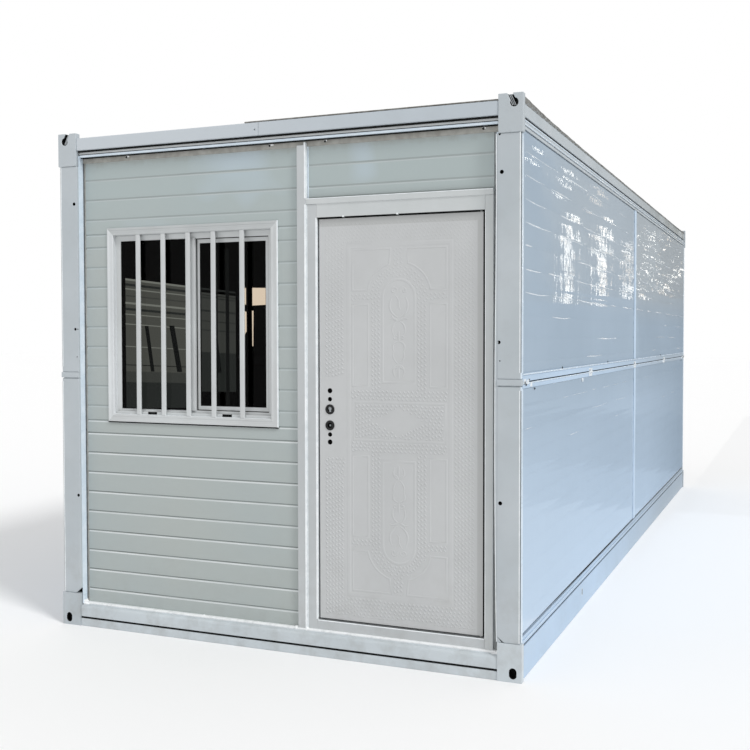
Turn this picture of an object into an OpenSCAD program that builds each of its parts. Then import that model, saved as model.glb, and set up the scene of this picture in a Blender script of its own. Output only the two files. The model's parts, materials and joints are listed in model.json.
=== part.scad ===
// Folding container house: a steel frame with corner blocks, sandwich-panel walls whose long
// sides fold at mid-height, and a front end wall with one hinged door and one sliding window.
// +X is the house's right seen from the front, +Y runs from the front to the rear, +Z is up.
// The origin is on the ground at the middle of the plan. Millimetres.

/* [House] */
// Overall width, across the corner blocks
house_w = 2440; // [2300:10:2800]
// Overall length, across the corner blocks
house_l = 5850; // [4800:50:7200]
// Overall height, from the ground to the top of the corner blocks
house_h = 2500; // [2450:10:2800]

/* [Corner blocks] */
// Width of a corner block, and how far it reaches back along the house
block_w = 110; // [104:1:125]
// Height of a corner block
block_h = 165; // [130:1:190]
// How far a corner block stands out from the side face of its post
block_proud_side = 8; // [6:1:16]
// How far a corner block stands out from the end face of its post
block_proud_end = 4; // [4:1:10]
// Diameter of a lifting hole in a top block
lift_hole_d = 38; // [30:1:44]
// From the outer edge and from the top edge of a block to the middle of its lifting hole
lift_hole_in = 40; // [34:1:50]
// Width of the hook slot from a lifting hole to the top edge
lift_slot_w = 22; // [14:1:24]
// Lean of the hook slot from upright, in degrees
lift_slot_lean = 25; // [10:1:35]
// Depth of the lifting holes and of the tie-down slots
pocket_depth = 24; // [12:1:26]
// Width of a tie-down slot in a bottom block
tie_slot_w = 34; // [26:1:40]
// Height of a tie-down slot
tie_slot_h = 48; // [42:1:56]
// Middle of a tie-down slot above the ground
tie_slot_z = 38; // [36:1:60]

/* [Posts] */
// Width of a post across the end of the house
post_w = 106; // [90:1:112]
// Thickness of a post's end plate, which shows at the corner of the long side
post_nose = 28; // [28:1:40]
// Width of the cut-out in the foot of a post
foot_cut_w = 32; // [16:1:44]
// Height of the cut-out in the foot of a post
foot_cut_h = 28; // [14:1:40]
// Height of the fold band at the middle of a post
band_h = 27; // [20:1:40]
// From the middle of the fold up to the top of that band
band_up = 17; // [14:1:24]
// How far the fold band stands out from the post
band_proud = 3; // [1:1:4]
// Height of the neck under the fold band
neck_h = 4; // [2:1:8]
// How far the neck is set in from the post's faces
neck_in = 5; // [2:1:10]

/* [Base] */
// Height of the base beams under the end walls
base_beam_h = 107; // [90:1:130]
// Height of the shadow groove's lower edge in a base beam
base_groove_z = 38; // [25:1:60]
// Width of the shadow grooves in the frame
frame_groove_w = 10; // [5:1:14]
// Depth of the shadow grooves in the frame
frame_groove_d = 14; // [6:1:20]
// Radius of the base beams' upper edge
base_edge_r = 15; // [6:1:25]
// Height of the side rails' plain lower face
base_rail_h = 140; // [120:1:150]
// Height of the lip along a side rail
rail_lip_h = 15; // [8:1:20]
// Height of the gap between a side rail's lip and the wall panel
rail_gap_h = 35; // [15:1:40]
// Depth of that gap
rail_gap_d = 25; // [12:1:35]
// Thickness of the floor board
floor_t = 20; // [15:1:30]
// Height of a floor joist
joist_h = 100; // [60:1:110]
// Width of a floor joist
joist_w = 40; // [30:1:60]
// Distance from one floor joist to the next
joist_pitch = 480; // [380:10:560]

/* [Roof] */
// From the top of the corner blocks down to the top of the roof beams
roof_drop = 26; // [20:1:40]
// Height of the roof beams above the end walls
roof_beam_h = 62; // [50:1:75]
// From the top of the roof beams down to the seat of the roof sheet
roof_seat = 12; // [8:1:16]
// Height of the plain face of a side roof rail
roof_face_h = 53; // [40:1:60]
// Height of the lower lip of a side roof rail
roof_lip_h = 24; // [16:1:30]
// Height of the gap under that lip
roof_gap_h = 25; // [15:1:35]
// Thickness of the roof sheet
sheet_t = 2; // [1.5:0.5:4]
// Height of the roof sheet's ribs over its thickness
rib_h = 10; // [6:1:20]
// Distance from rib to rib along the house
rib_pitch = 76; // [70:1:120]
// Width of a rib's top
rib_top_w = 20; // [12:1:24]
// Width of a rib's slope, seen from above
rib_slope_w = 14; // [8:1:20]
// Thickness of the ceiling panel
ceiling_t = 50; // [40:1:60]

/* [Walls] */
// Thickness of the sandwich panels
wall_t = 50; // [48:1:56]
// How far the side panels are set in from the posts' side faces
side_set = 2; // [1:1:5]
// Gap between a post's end plate and the side wall
side_gap = 3; // [1:1:8]
// How far the end walls are set in from the posts' end faces
end_set = 48; // [40:1:52]
// Height above the ground of the lower panel joint in the end walls
end_joint_z = 1048; // [1000:1:1100]
// Height of one full wall panel, joint to joint
panel_pitch = 940; // [900:1:980]
// Distance between the pressed lines of a panel
line_pitch = 100; // [80:1:120]
// From a panel's lower edge to its first pressed line
line_first = 75; // [50:1:90]
// The same in the long sides' panels above the fold
line_first_upper = 49; // [30:1:90]
// Width of a pressed line
line_w = 14; // [6:1:18]
// Depth of a pressed line
line_d = 3.5; // [1:0.5:6]
// Width of the set-back margin between the end walls and the posts
margin_w = 11; // [6:1:16]
// Depth of that margin
margin_d = 12; // [6:1:20]
// Width of the strip that covers the mid-length joint of a long side
cover_w = 65; // [50:1:90]
// Thickness of that strip
cover_t = 5; // [3:1:8]
// Gap between the two bays of a long side, under the cover strip
bay_gap = 10; // [4:1:20]

/* [Side fold] */
// Height above the ground of the fold in the long sides
fold_z = 1278; // [1240:1:1320]
// Gap between the two fold rails
fold_gap = 12; // [8:1:20]
// Height of the fold rail under the fold
fold_low_rail_h = 18; // [14:1:30]
// Height of the fold rail over the fold
fold_rail_h = 35; // [24:1:45]
// Distance between the fold hinges along a long side
fold_hinge_pitch = 1500; // [1200:50:1700]
// Length of a fold hinge
fold_hinge_l = 80; // [50:5:120]
// Diameter of a fold hinge's barrel
fold_hinge_d = 10; // [8:1:11]
// Thickness of a fold hinge's plate
fold_plate_t = 3; // [2:1:4]
// Height of a fold hinge's plate
fold_plate_h = 44; // [34:1:60]

/* [Front end wall] */
// Width of the mullion between the window bay and the door bay
mullion_w = 38; // [30:1:50]
// How far the mullion stands out from the panels
mullion_proud = 20; // [12:1:26]
// How far the door frame stands out from the panels
frame_proud = 10; // [6:1:12]
// Height of the rail along the top of the end walls
top_rail_h = 48; // [30:1:52]
// How far that rail stands out from the panels
top_rail_proud = 12; // [6:1:20]
// Gap between that rail and the roof beam
top_gap = 7; // [4:1:12]

/* [Door] */
// Width of the door opening
door_w = 813; // [700:1:820]
// Height of the panel between the rail above the door's head and the rail along the top
transom_h = 245; // [180:1:340]
// Height of the door opening's foot above the ground
door_z = 162; // [150:1:190]
// Width of the door jambs' faces
jamb_w = 59; // [40:1:64]
// Width of the right jamb's face
hinge_jamb_w = 38; // [28:1:60]
// Width of the set-back strip between the right jamb and the post
hinge_strip_w = 28; // [20:1:50]
// Height of the door frame's head
head_h = 63; // [45:1:75]
// Height of the rail above the head
head_rail_h = 27; // [18:1:35]
// How far that rail stands out from the panels
head_rail_proud = 14; // [8:1:18]
// Depth of the door frame
door_frame_d = 70; // [66:1:80]
// Thickness of the door leaf
leaf_t = 40; // [36:1:42]
// Gap at the door leaf's lock edge
lock_gap = 8; // [6:1:10]
// Gap at the door leaf's hinge edge
hinge_gap = 10; // [9:1:12]
// Gap over and under the door leaf
leaf_gap = 6; // [5:1:10]
// How far the stops reach into the door opening
stop_w = 14; // [12:1:20]
// Gap between the door leaf and its stops
stop_gap = 8; // [7:1:10]
// Diameter of the door's pivot pins
pivot_d = 12; // [8:1:14]
// From the door leaf's outer face and hinge edge to the pivot axis
pivot_in = 12; // [12:1:14]
// How far a pivot pin reaches into the door leaf
pivot_reach = 20; // [12:1:30]
// Clearance around a pivot pin, on the radius
pivot_clear = 0.08; // [0.02:0.01:0.1]
// Outer diameter of a lock ring
lock_d = 46; // [36:1:54]
// Diameter of the hole in a lock ring
lock_hole_d = 24; // [14:1:30]
// Thickness of a lock ring
lock_t = 3; // [2:1:5]
// From the lock edge of the leaf to the middle of the lock rings
lock_in = 54; // [40:1:80]
// Height of the lower lock ring above the leaf's foot
lock_z = 899; // [820:1:940]
// Distance between the two lock rings
lock_pitch = 74; // [60:1:100]

/* [Window] */
// From the left post to the window's casing
window_left = 147; // [100:1:200]
// From the window's casing to the mullion
window_right = 110; // [60:1:160]
// Height of the window over its casing
window_h = 972; // [900:1:1000]
// Width of the casing's face
casing_w = 38; // [30:1:50]
// How far the casing laps over the wall at its sides and top
casing_lap = 15; // [8:1:20]
// How far the casing stands out from the panels
casing_proud = 8; // [4:1:12]
// Width of the fixed frame that shows inside the casing
fixed_w = 28; // [20:1:40]
// Width of the fixed frame's middle stile
stile_w = 36; // [28:1:50]
// Width of the sliding sash's bars
sash_w = 50; // [42:1:60]
// Thickness of the fixed frame and of the sash
sash_t = 16; // [12:1:16]
// From the panels' face to the fixed frame
fixed_in = 14; // [12:1:15]
// Gap between the fixed frame and the sash
sash_gap = 2; // [1:1:3]
// Thickness of the glass
glass_t = 5; // [3:1:6]

/* [Hidden] */

// Half sizes of the house and the planes that the pieces share.
half_w = house_w / 2;
half_l = house_l / 2;
post_x = half_w - block_proud_side;      // side faces of the posts and rails
post_y = half_l - block_proud_end;       // end faces of the posts and beams
post_in = post_x - post_w;               // inner faces of the posts
nose_y = post_y - post_nose;             // back of the posts' end plates
block_in = half_w - block_w;             // inner faces of the corner blocks
block_back = half_l - block_w;           // backs of the corner blocks and posts
run_y = nose_y - side_gap;               // ends of the side rails and panels
wall_x = post_x - side_set;              // outer faces of the side panels
room_x = wall_x - wall_t;                // inner faces of the side walls
end_y = post_y - end_set;                // outer faces of the end walls
room_y = end_y - wall_t;                 // inner faces of the end walls

// Heights.
rail_seat_z = base_rail_h + frame_groove_w + rail_lip_h + rail_gap_h;
floor_z = base_rail_h + floor_t;
beam_top_z = house_h - roof_drop;
beam_low_z = beam_top_z - roof_beam_h;
roof_z = beam_top_z - roof_seat;
roof_lip_z = roof_z - roof_face_h - frame_groove_w - roof_lip_h;
side_top_z = roof_lip_z - roof_gap_h;
top_rail_z = beam_low_z - top_gap - top_rail_h;
upper_joint_z = end_joint_z + panel_pitch;
fold_low_z = fold_z - fold_gap / 2;
fold_high_z = fold_z + fold_gap / 2;
band_high_z = fold_z + band_up;
band_low_z = band_high_z - band_h;
fold_seat_z = fold_low_z - fold_low_rail_h;

// Door.
strip_x = post_in - hinge_strip_w;       // inner edge of the set-back strip by the right post
door_x2 = strip_x - hinge_jamb_w;
door_x = door_x2 - door_w;
transom_z = top_rail_z - transom_h;
door_z2 = transom_z - head_rail_h - head_h;
mullion_x = door_x - jamb_w - mullion_w;
door_face_y = -end_y - frame_proud;      // face of the door frame
leaf_y = -end_y;                         // outer face of the leaf
leaf_x = door_x + lock_gap;
leaf_x2 = door_x2 - hinge_gap;
pivot_x = leaf_x2 - pivot_in;
pivot_y = leaf_y + pivot_in;
stop_y = leaf_y + leaf_t + stop_gap;
door_back_y = door_face_y + door_frame_d;

// Window.
window_x = -post_in + window_left;
window_x2 = mullion_x - window_right;
window_z = end_joint_z;
hole_x = window_x + casing_lap;
hole_x2 = window_x2 - casing_lap;
hole_z2 = window_z + window_h - casing_lap;
light_x = window_x + casing_w;
light_x2 = window_x2 - casing_w;
light_z = window_z + casing_w;
light_z2 = window_z + window_h - casing_w;
stile_x = (light_x + light_x2 - stile_w) / 2;
fixed_y = -end_y + fixed_in;             // outer face of the fixed frame, which holds the left pane
sash_y = fixed_y + sash_t + sash_gap;    // outer face of the sash, behind the right-hand opening

// Colours.
frame_grey = "#BEC7CD";
end_grey = "#A9B4B3";
side_blue = "#AFC1D3";
trim_white = "#D2D6D6";
door_grey = "#C0C3C3";
shade_grey = "#8C9499";

// Extrudes a (Y, Z) outline along X.
module along_x(x1, x2) {
    translate([x1, 0, 0]) rotate([90, 0, 90]) linear_extrude(x2 - x1) children();
}

// Extrudes an (X, Z) outline along Y.
module along_y(y1, y2) {
    translate([0, y2, 0]) rotate([90, 0, 0]) linear_extrude(y2 - y1) children();
}

// A box between two corners.
module block(low, high) {
    translate(low) cube(high - low);
}

// Mirrors a front-right piece to the left, to the rear or to both.
module place(left = false, rear = false) {
    if (left && rear) mirror([1, 0, 0]) mirror([0, 1, 0]) children();
    else if (left) mirror([1, 0, 0]) children();
    else if (rear) mirror([0, 1, 0]) children();
    else children();
}

module at_corners() {
    for (left = [false, true], rear = [false, true]) place(left, rear) children();
}

// ---- Corner blocks and posts, drawn at the front right ----

// Plan of the end plate and the leg behind it, which leaves room for the side wall.
module corner_plan(x_in, x_out, y_out) {
    polygon([
        [x_in, -y_out], [x_out, -y_out], [x_out, -nose_y],
        [room_x, -nose_y], [room_x, -block_back], [x_in, -block_back]
    ]);
}

module tie_slot() {
    reach = (tie_slot_h - tie_slot_w) / 2;
    translate([half_w - lift_hole_in, -half_l - 1, tie_slot_z]) {
        for (end = [-reach, reach]) translate([0, 0, end])
            rotate([-90, 0, 0]) cylinder(d = tie_slot_w, h = pocket_depth + 1, $fn = 48);
        translate([-tie_slot_w / 2, 0, -reach]) cube([tie_slot_w, pocket_depth + 1, 2 * reach]);
    }
}

module lift_hole() {
    depth = pocket_depth + 1;
    translate([half_w - lift_hole_in, -half_l - 1, house_h - lift_hole_in])
        rotate([-90, 0, 0]) rotate([0, 0, -lift_slot_lean]) {
            cylinder(d = lift_hole_d, h = depth, $fn = 64);
            translate([-lift_slot_w / 2, -2 * lift_hole_in, 0])
                cube([lift_slot_w, 2 * lift_hole_in, depth]);
        }
}

module bottom_corner_blocks() {
    color(frame_grey) at_corners() difference() {
        linear_extrude(block_h) corner_plan(block_in, half_w, half_l);
        tie_slot();
    }
}

module top_corner_blocks() {
    color(frame_grey) at_corners() difference() {
        union() {
            block([block_in, -half_l, house_h - block_h], [half_w, -nose_y, house_h]);
            block([block_in, -nose_y, house_h - block_h], [room_x, -block_back, roof_z]);
        }
        lift_hole();
    }
}

// The wedge-shaped cut-out at the inner edge of a post's foot.
module foot_cut() {
    translate([post_in, -post_y - 1, block_h])
        along_y(0, pocket_depth + 1) polygon([[-1, 0], [foot_cut_w, 0], [-1, foot_cut_h]]);
}

module post() {
    color(frame_grey) {
        difference() {
            translate([0, 0, block_h]) linear_extrude(band_low_z - neck_h - block_h)
                corner_plan(post_in, post_x, post_y);
            foot_cut();
        }
        translate([0, 0, band_high_z]) linear_extrude(house_h - block_h - band_high_z)
            corner_plan(post_in, post_x, post_y);
    }
}

module front_left_post() { place(left = true) post(); }
module front_right_post() { post(); }
module rear_left_post() { place(left = true, rear = true) post(); }
module rear_right_post() { place(rear = true) post(); }

module post_fold_bands() {
    color(frame_grey) at_corners() {
        translate([0, 0, band_low_z]) linear_extrude(band_h)
            corner_plan(post_in, post_x + band_proud, post_y + band_proud);
        translate([0, 0, band_low_z - neck_h]) linear_extrude(neck_h)
            corner_plan(post_in, post_x - neck_in, post_y - neck_in);
    }
}

// ---- Base ----

module base_beam() {
    groove_top = base_groove_z + frame_groove_w;
    color(frame_grey) along_x(-block_in, block_in) polygon([
        [-post_y, 0], [-post_y, base_groove_z],
        [-post_y + frame_groove_d, base_groove_z], [-post_y + frame_groove_d, groove_top],
        [-post_y, groove_top],
        for (turn = [0 : 15 : 90]) [-post_y + base_edge_r * (1 - cos(turn)),
                                    base_beam_h - base_edge_r * (1 - sin(turn))],
        [-block_back, base_beam_h], [-block_back, 0]
    ]);
}

module base_beam_front() { base_beam(); }
module base_beam_rear() { place(rear = true) base_beam(); }

module base_rail() {
    lip_z = base_rail_h + frame_groove_w;
    color(frame_grey) along_y(-run_y, run_y) polygon([
        [room_x, 0], [post_x, 0], [post_x, base_rail_h],
        [post_x - frame_groove_d, base_rail_h], [post_x - frame_groove_d, lip_z],
        [post_x, lip_z], [post_x, lip_z + rail_lip_h],
        [post_x - rail_gap_d, lip_z + rail_lip_h], [post_x - rail_gap_d, rail_seat_z],
        [room_x, rail_seat_z]
    ]);
}

module base_rail_left() { place(left = true) base_rail(); }
module base_rail_right() { base_rail(); }

module floor_joists() {
    count = floor((block_back - joist_w) / joist_pitch);
    color(shade_grey) for (i = [-count : count])
        block([-room_x, i * joist_pitch - joist_w / 2, base_rail_h - joist_h],
              [room_x, i * joist_pitch + joist_w / 2, base_rail_h]);
}

// A board over the whole room, cut round the legs in the corners.
module room_board(z1, z2) {
    difference() {
        block([-room_x, -room_y, z1], [room_x, room_y, z2]);
        at_corners() block([block_in, -room_y - 1, z1 - 1], [room_x + 1, -block_back, z2 + 1]);
    }
}

// Cut back behind the door frame.
module floor_board() {
    color("#8F8778") difference() {
        room_board(base_rail_h, floor_z);
        block([door_x - jamb_w, -room_y - 1, base_rail_h - 1],
              [door_x2 + hinge_jamb_w, door_back_y, floor_z + 1]);
    }
}

// ---- Roof ----

module roof_beam() {
    color(frame_grey) along_x(-block_in, block_in) polygon([
        [-post_y, beam_low_z], [-post_y, beam_top_z], [-nose_y, beam_top_z],
        [-nose_y, roof_z], [-block_back, roof_z], [-block_back, beam_low_z]
    ]);
}

module roof_beam_front() { roof_beam(); }
module roof_beam_rear() { place(rear = true) roof_beam(); }

module roof_rail() {
    lip_top = roof_lip_z + roof_lip_h;
    lip_x = post_x - band_proud;
    color(frame_grey) along_y(-run_y, run_y) polygon([
        [room_x, side_top_z], [post_x - rail_gap_d, side_top_z], [post_x - rail_gap_d, roof_lip_z],
        [lip_x, roof_lip_z], [lip_x, lip_top],
        [post_x - frame_groove_d, lip_top], [post_x - frame_groove_d, lip_top + frame_groove_w],
        [post_x, lip_top + frame_groove_w], [post_x, roof_z], [room_x, roof_z]
    ]);
}

module roof_rail_left() { place(left = true) roof_rail(); }
module roof_rail_right() { roof_rail(); }

// The ribbed sheet: its ribs run across the house, so its section repeats along Y.
module roof_sheet() {
    ribs = floor((run_y - rib_top_w / 2 - rib_slope_w) / rib_pitch);
    half_top = rib_top_w / 2;
    half_foot = half_top + rib_slope_w;
    top = [for (i = [-ribs : ribs]) each [
        [i * rib_pitch - half_foot, sheet_t], [i * rib_pitch - half_top, sheet_t + rib_h],
        [i * rib_pitch + half_top, sheet_t + rib_h], [i * rib_pitch + half_foot, sheet_t]
    ]];
    under = [for (i = [ribs : -1 : -ribs]) each [
        [i * rib_pitch + half_foot, 0], [i * rib_pitch + half_top, rib_h],
        [i * rib_pitch - half_top, rib_h], [i * rib_pitch - half_foot, 0]
    ]];
    color(shade_grey) translate([0, 0, roof_z]) along_x(-post_x, post_x)
        polygon(concat([[-run_y, 0], [-run_y, sheet_t]], top,
                       [[run_y, sheet_t], [run_y, 0]], under));
}

module ceiling_panel() { color(trim_white) room_board(side_top_z, side_top_z + ceiling_t); }

// ---- Wall panels ----

// Outline of a panel with V-shaped pressed lines at the given heights: depth from its face, height.
function panel_outline(z1, z2, lines) = concat(
    [[wall_t, z1], [line_d, z1], [0, z1 + line_w / 2]],
    [for (z = lines) each [[0, z - line_w / 2], [line_d, z], [0, z + line_w / 2]]],
    [[0, z2 - line_w / 2], [line_d, z2], [wall_t, z2]]
);

// Heights of the pressed lines of the panels stacked in an end wall, between z1 and z2.
function end_lines(z1, z2) = [
    for (panel = [-1 : 1], i = [0 : floor((panel_pitch - line_first - line_pitch / 2) / line_pitch)])
        let (z = end_joint_z + panel * panel_pitch + line_first + i * line_pitch)
        if (z > z1 + line_w && z < z2 - line_w) z
];

// Heights of the pressed lines of a side panel from z1 to z2.
function side_lines(z1, z2, first) = [
    for (i = [0 : floor((z2 - z1 - first - line_pitch / 4) / line_pitch)])
        z1 + first + i * line_pitch
];

// A stretch of the front end wall.
module end_panel(x1, x2, z1, z2) {
    along_x(x1, x2) translate([-end_y, 0]) polygon(panel_outline(z1, z2, end_lines(z1, z2)));
}

// The set-back margin that closes the gap between an end wall and a post.
module margin(x1, x2, z1, z2) {
    block([x1, -end_y + margin_d, z1], [x2, -room_y, z2]);
}

module rear_panel(z1, z2) {
    color(end_grey) place(rear = true) {
        end_panel(-post_in + margin_w, post_in - margin_w, z1, z2);
        margin(-post_in, -post_in + margin_w, z1, z2);
        margin(post_in - margin_w, post_in, z1, z2);
    }
}

module rear_wall_lower() { rear_panel(base_beam_h, end_joint_z); }
module rear_wall_middle() { rear_panel(end_joint_z, upper_joint_z); }
module rear_wall_upper() { rear_panel(upper_joint_z, top_rail_z); }

module front_wall_lower() {
    color(end_grey) {
        end_panel(-post_in + margin_w, mullion_x, base_beam_h, end_joint_z);
        margin(-post_in, -post_in + margin_w, base_beam_h, end_joint_z);
    }
}

// The window's hole through the wall, inside the casing's laps.
module window_hole() {
    block([hole_x, -end_y - 1, window_z - 1], [hole_x2, -room_y + 1, hole_z2]);
}

module front_wall_middle() {
    color(end_grey) {
        difference() {
            end_panel(-post_in + margin_w, mullion_x, end_joint_z, upper_joint_z);
            window_hole();
        }
        margin(-post_in, -post_in + margin_w, end_joint_z, upper_joint_z);
    }
}

module front_wall_upper() {
    color(end_grey) {
        difference() {
            end_panel(-post_in + margin_w, mullion_x, upper_joint_z, top_rail_z);
            window_hole();
        }
        margin(-post_in, -post_in + margin_w, upper_joint_z, top_rail_z);
    }
}

module transom_panel() {
    color(end_grey) {
        end_panel(mullion_x + mullion_w, strip_x, transom_z, top_rail_z);
        margin(strip_x, post_in, transom_z, top_rail_z);
    }
}

// One bay's panel of the right-hand side, in front of or behind the mid-length joint.
module side_bay(y1, y2, z1, z2, first) {
    along_y(y1, y2)
        polygon([for (p = panel_outline(z1, z2, side_lines(z1, z2, first))) [wall_x - p[0], p[1]]]);
}

module side_wall(z1, z2, first) {
    color(side_blue) {
        side_bay(-run_y, -bay_gap / 2, z1, z2, first);
        side_bay(bay_gap / 2, run_y, z1, z2, first);
    }
}

module right_wall_lower() { side_wall(rail_seat_z, fold_seat_z, line_first); }
module right_wall_upper() { side_wall(fold_high_z + fold_rail_h, side_top_z, line_first_upper); }
module left_wall_lower() { place(left = true) right_wall_lower(); }
module left_wall_upper() { place(left = true) right_wall_upper(); }

module side_cover_strips() {
    color(trim_white) for (left = [false, true]) place(left) {
        block([wall_x, -cover_w / 2, rail_seat_z],
              [wall_x + cover_t, cover_w / 2, fold_seat_z]);
        block([wall_x, -cover_w / 2, fold_high_z + fold_rail_h],
              [wall_x + cover_t, cover_w / 2, side_top_z]);
    }
}

// ---- Fold of the long sides ----

module fold_rails() {
    color(frame_grey) {
        block([room_x, -run_y, fold_seat_z], [post_x, run_y, fold_low_z]);
        block([room_x, -run_y, fold_high_z], [post_x, run_y, fold_high_z + fold_rail_h]);
    }
}

module left_fold_rails() { place(left = true) fold_rails(); }
module right_fold_rails() { fold_rails(); }

module fold_hinge(y) {
    block([post_x, y - fold_hinge_l / 2, fold_z - fold_plate_h / 2],
          [post_x + fold_plate_t, y + fold_hinge_l / 2, fold_z + fold_plate_h / 2]);
    translate([post_x + block_proud_side - fold_hinge_d / 2, y + fold_hinge_l / 2, fold_z])
        rotate([90, 0, 0]) cylinder(d = fold_hinge_d, h = fold_hinge_l, $fn = 32);
}

module side_fold_hinges() {
    color(shade_grey) for (left = [false, true], i = [-1 : 1])
        place(left) fold_hinge(i * fold_hinge_pitch);
}

// ---- End-wall framing ----

module top_rail() {
    color(trim_white) along_x(-post_in, post_in) polygon([
        [-end_y - top_rail_proud / 2, top_rail_z],
        [-end_y - top_rail_proud / 2, top_rail_z + top_rail_h / 2],
        [-end_y - top_rail_proud, top_rail_z + top_rail_h / 2 + top_rail_proud / 2],
        [-end_y - top_rail_proud, top_rail_z + top_rail_h - top_rail_proud],
        [-end_y, top_rail_z + top_rail_h - top_rail_proud],
        [-end_y, top_rail_z + top_rail_h], [-room_y, top_rail_z + top_rail_h],
        [-room_y, top_rail_z]
    ]);
}

module end_wall_top_rails() {
    top_rail();
    place(rear = true) top_rail();
}

module front_mullion() {
    color(trim_white)
        block([mullion_x, -end_y - mullion_proud, base_beam_h],
              [mullion_x + mullion_w, -room_y, top_rail_z]);
}

// ---- Door ----

// An upright pin or bore on the door's pivot axis.
module pivot_pin(d, z, h) {
    translate([pivot_x, pivot_y, z]) cylinder(d = d, h = h, $fn = 48);
}

// A jamb from the base beam up to the rail over the head, with its stop behind the leaf.
module door_jamb_left() {
    color(trim_white) {
        block([door_x - jamb_w, door_face_y, base_beam_h],
              [door_x, door_back_y, door_z2 + head_h]);
        block([door_x, stop_y, door_z], [door_x + stop_w, door_back_y, door_z2]);
    }
}

module door_jamb_right() {
    color(trim_white) {
        block([door_x2, door_face_y, base_beam_h],
              [door_x2 + hinge_jamb_w, door_back_y, door_z2 + head_h]);
        block([door_x2 - stop_w, stop_y, door_z], [door_x2, door_back_y, door_z2]);
        margin(strip_x, post_in, base_beam_h, door_z2 + head_h);
    }
}

module door_head() {
    color(trim_white) {
        block([door_x, door_face_y, door_z2], [door_x2, door_back_y, door_z2 + head_h]);
        block([door_x + stop_w, stop_y, door_z2 - stop_w], [door_x2 - stop_w, door_back_y, door_z2]);
        block([mullion_x + mullion_w, -end_y - head_rail_proud, door_z2 + head_h],
              [strip_x, -room_y, transom_z]);
        margin(strip_x, post_in, door_z2 + head_h, transom_z);
        pivot_pin(pivot_d, door_z2 - leaf_gap - pivot_reach, leaf_gap + pivot_reach + 1);
    }
}

module door_sill() {
    color(trim_white) {
        block([door_x, door_face_y, base_beam_h], [door_x2, door_back_y, door_z]);
        block([door_x + stop_w, stop_y, door_z], [door_x2 - stop_w, door_back_y, door_z + stop_w]);
        pivot_pin(pivot_d, door_z - 1, leaf_gap + pivot_reach + 1);
    }
}

module door_leaf() {
    bore = pivot_d + 2 * pivot_clear;
    bore_h = pivot_reach + 2;
    color(door_grey) difference() {
        block([leaf_x, leaf_y, door_z + leaf_gap], [leaf_x2, leaf_y + leaf_t, door_z2 - leaf_gap]);
        pivot_pin(bore, door_z + leaf_gap - 1, bore_h + 1);
        pivot_pin(bore, door_z2 - leaf_gap - bore_h, bore_h + 1);
    }
}

module door_lock_rings() {
    color(shade_grey) for (i = [0, 1])
        translate([leaf_x + lock_in, leaf_y, door_z + leaf_gap + lock_z + i * lock_pitch])
            rotate([90, 0, 0]) difference() {
                cylinder(d = lock_d, h = lock_t, $fn = 48);
                translate([0, 0, -1]) cylinder(d = lock_hole_d, h = lock_t + 2, $fn = 48);
            }
}

// ---- Window ----

// The casing, its lining through the wall, and the fixed frame that divides it in two.
module window_frame() {
    color(trim_white) difference() {
        union() {
            block([hole_x, -end_y, window_z], [hole_x2, -room_y, hole_z2]);
            block([window_x, -end_y - casing_proud, window_z],
                  [window_x2, -end_y, window_z + window_h]);
        }
        block([light_x, -end_y - casing_proud - 1, light_z], [light_x2, fixed_y, light_z2]);
        block([light_x, fixed_y + sash_t, light_z], [light_x2, -room_y + 1, light_z2]);
        for (pane = [[light_x + fixed_w, stile_x], [stile_x + stile_w, light_x2 - fixed_w]])
            block([pane[0], fixed_y - 1, light_z + fixed_w],
                  [pane[1], fixed_y + sash_t + 1, light_z2 - fixed_w]);
    }
}

module window_sash() {
    color(trim_white) difference() {
        block([stile_x, sash_y, light_z], [light_x2, sash_y + sash_t, light_z2]);
        block([stile_x + sash_w, sash_y - 1, light_z + sash_w],
              [light_x2 - sash_w, sash_y + sash_t + 1, light_z2 - sash_w]);
    }
}

// A pane between two places along X, set in bars of the given width that begin at y.
module glass_pane(x1, x2, y, bar) {
    block([x1, y + (sash_t - glass_t) / 2, light_z + bar],
          [x2, y + (sash_t + glass_t) / 2, light_z2 - bar]);
}

module window_glass() {
    color("#3E474B", 0.5) {
        glass_pane(light_x + fixed_w, stile_x, fixed_y, fixed_w);
        glass_pane(stile_x + sash_w, light_x2 - sash_w, sash_y, sash_w);
    }
}

bottom_corner_blocks();
top_corner_blocks();
front_left_post();
front_right_post();
rear_left_post();
rear_right_post();
post_fold_bands();
base_beam_front();
base_beam_rear();
base_rail_left();
base_rail_right();
floor_joists();
floor_board();
roof_beam_front();
roof_beam_rear();
roof_rail_left();
roof_rail_right();
roof_sheet();
ceiling_panel();
left_wall_lower();
left_wall_upper();
right_wall_lower();
right_wall_upper();
side_cover_strips();
left_fold_rails();
right_fold_rails();
side_fold_hinges();
end_wall_top_rails();
rear_wall_lower();
rear_wall_middle();
rear_wall_upper();
front_wall_lower();
front_wall_middle();
front_wall_upper();
front_mullion();
transom_panel();
door_jamb_left();
door_jamb_right();
door_head();
door_sill();
door_leaf();
door_lock_rings();
window_frame();
window_sash();
window_glass();
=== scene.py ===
"""A folding container house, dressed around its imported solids. Metres, +Z up, front end at -Y."""
import json
import math
import random
from functools import partial

import bmesh
import bpy
from mathutils import Matrix, Vector


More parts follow.
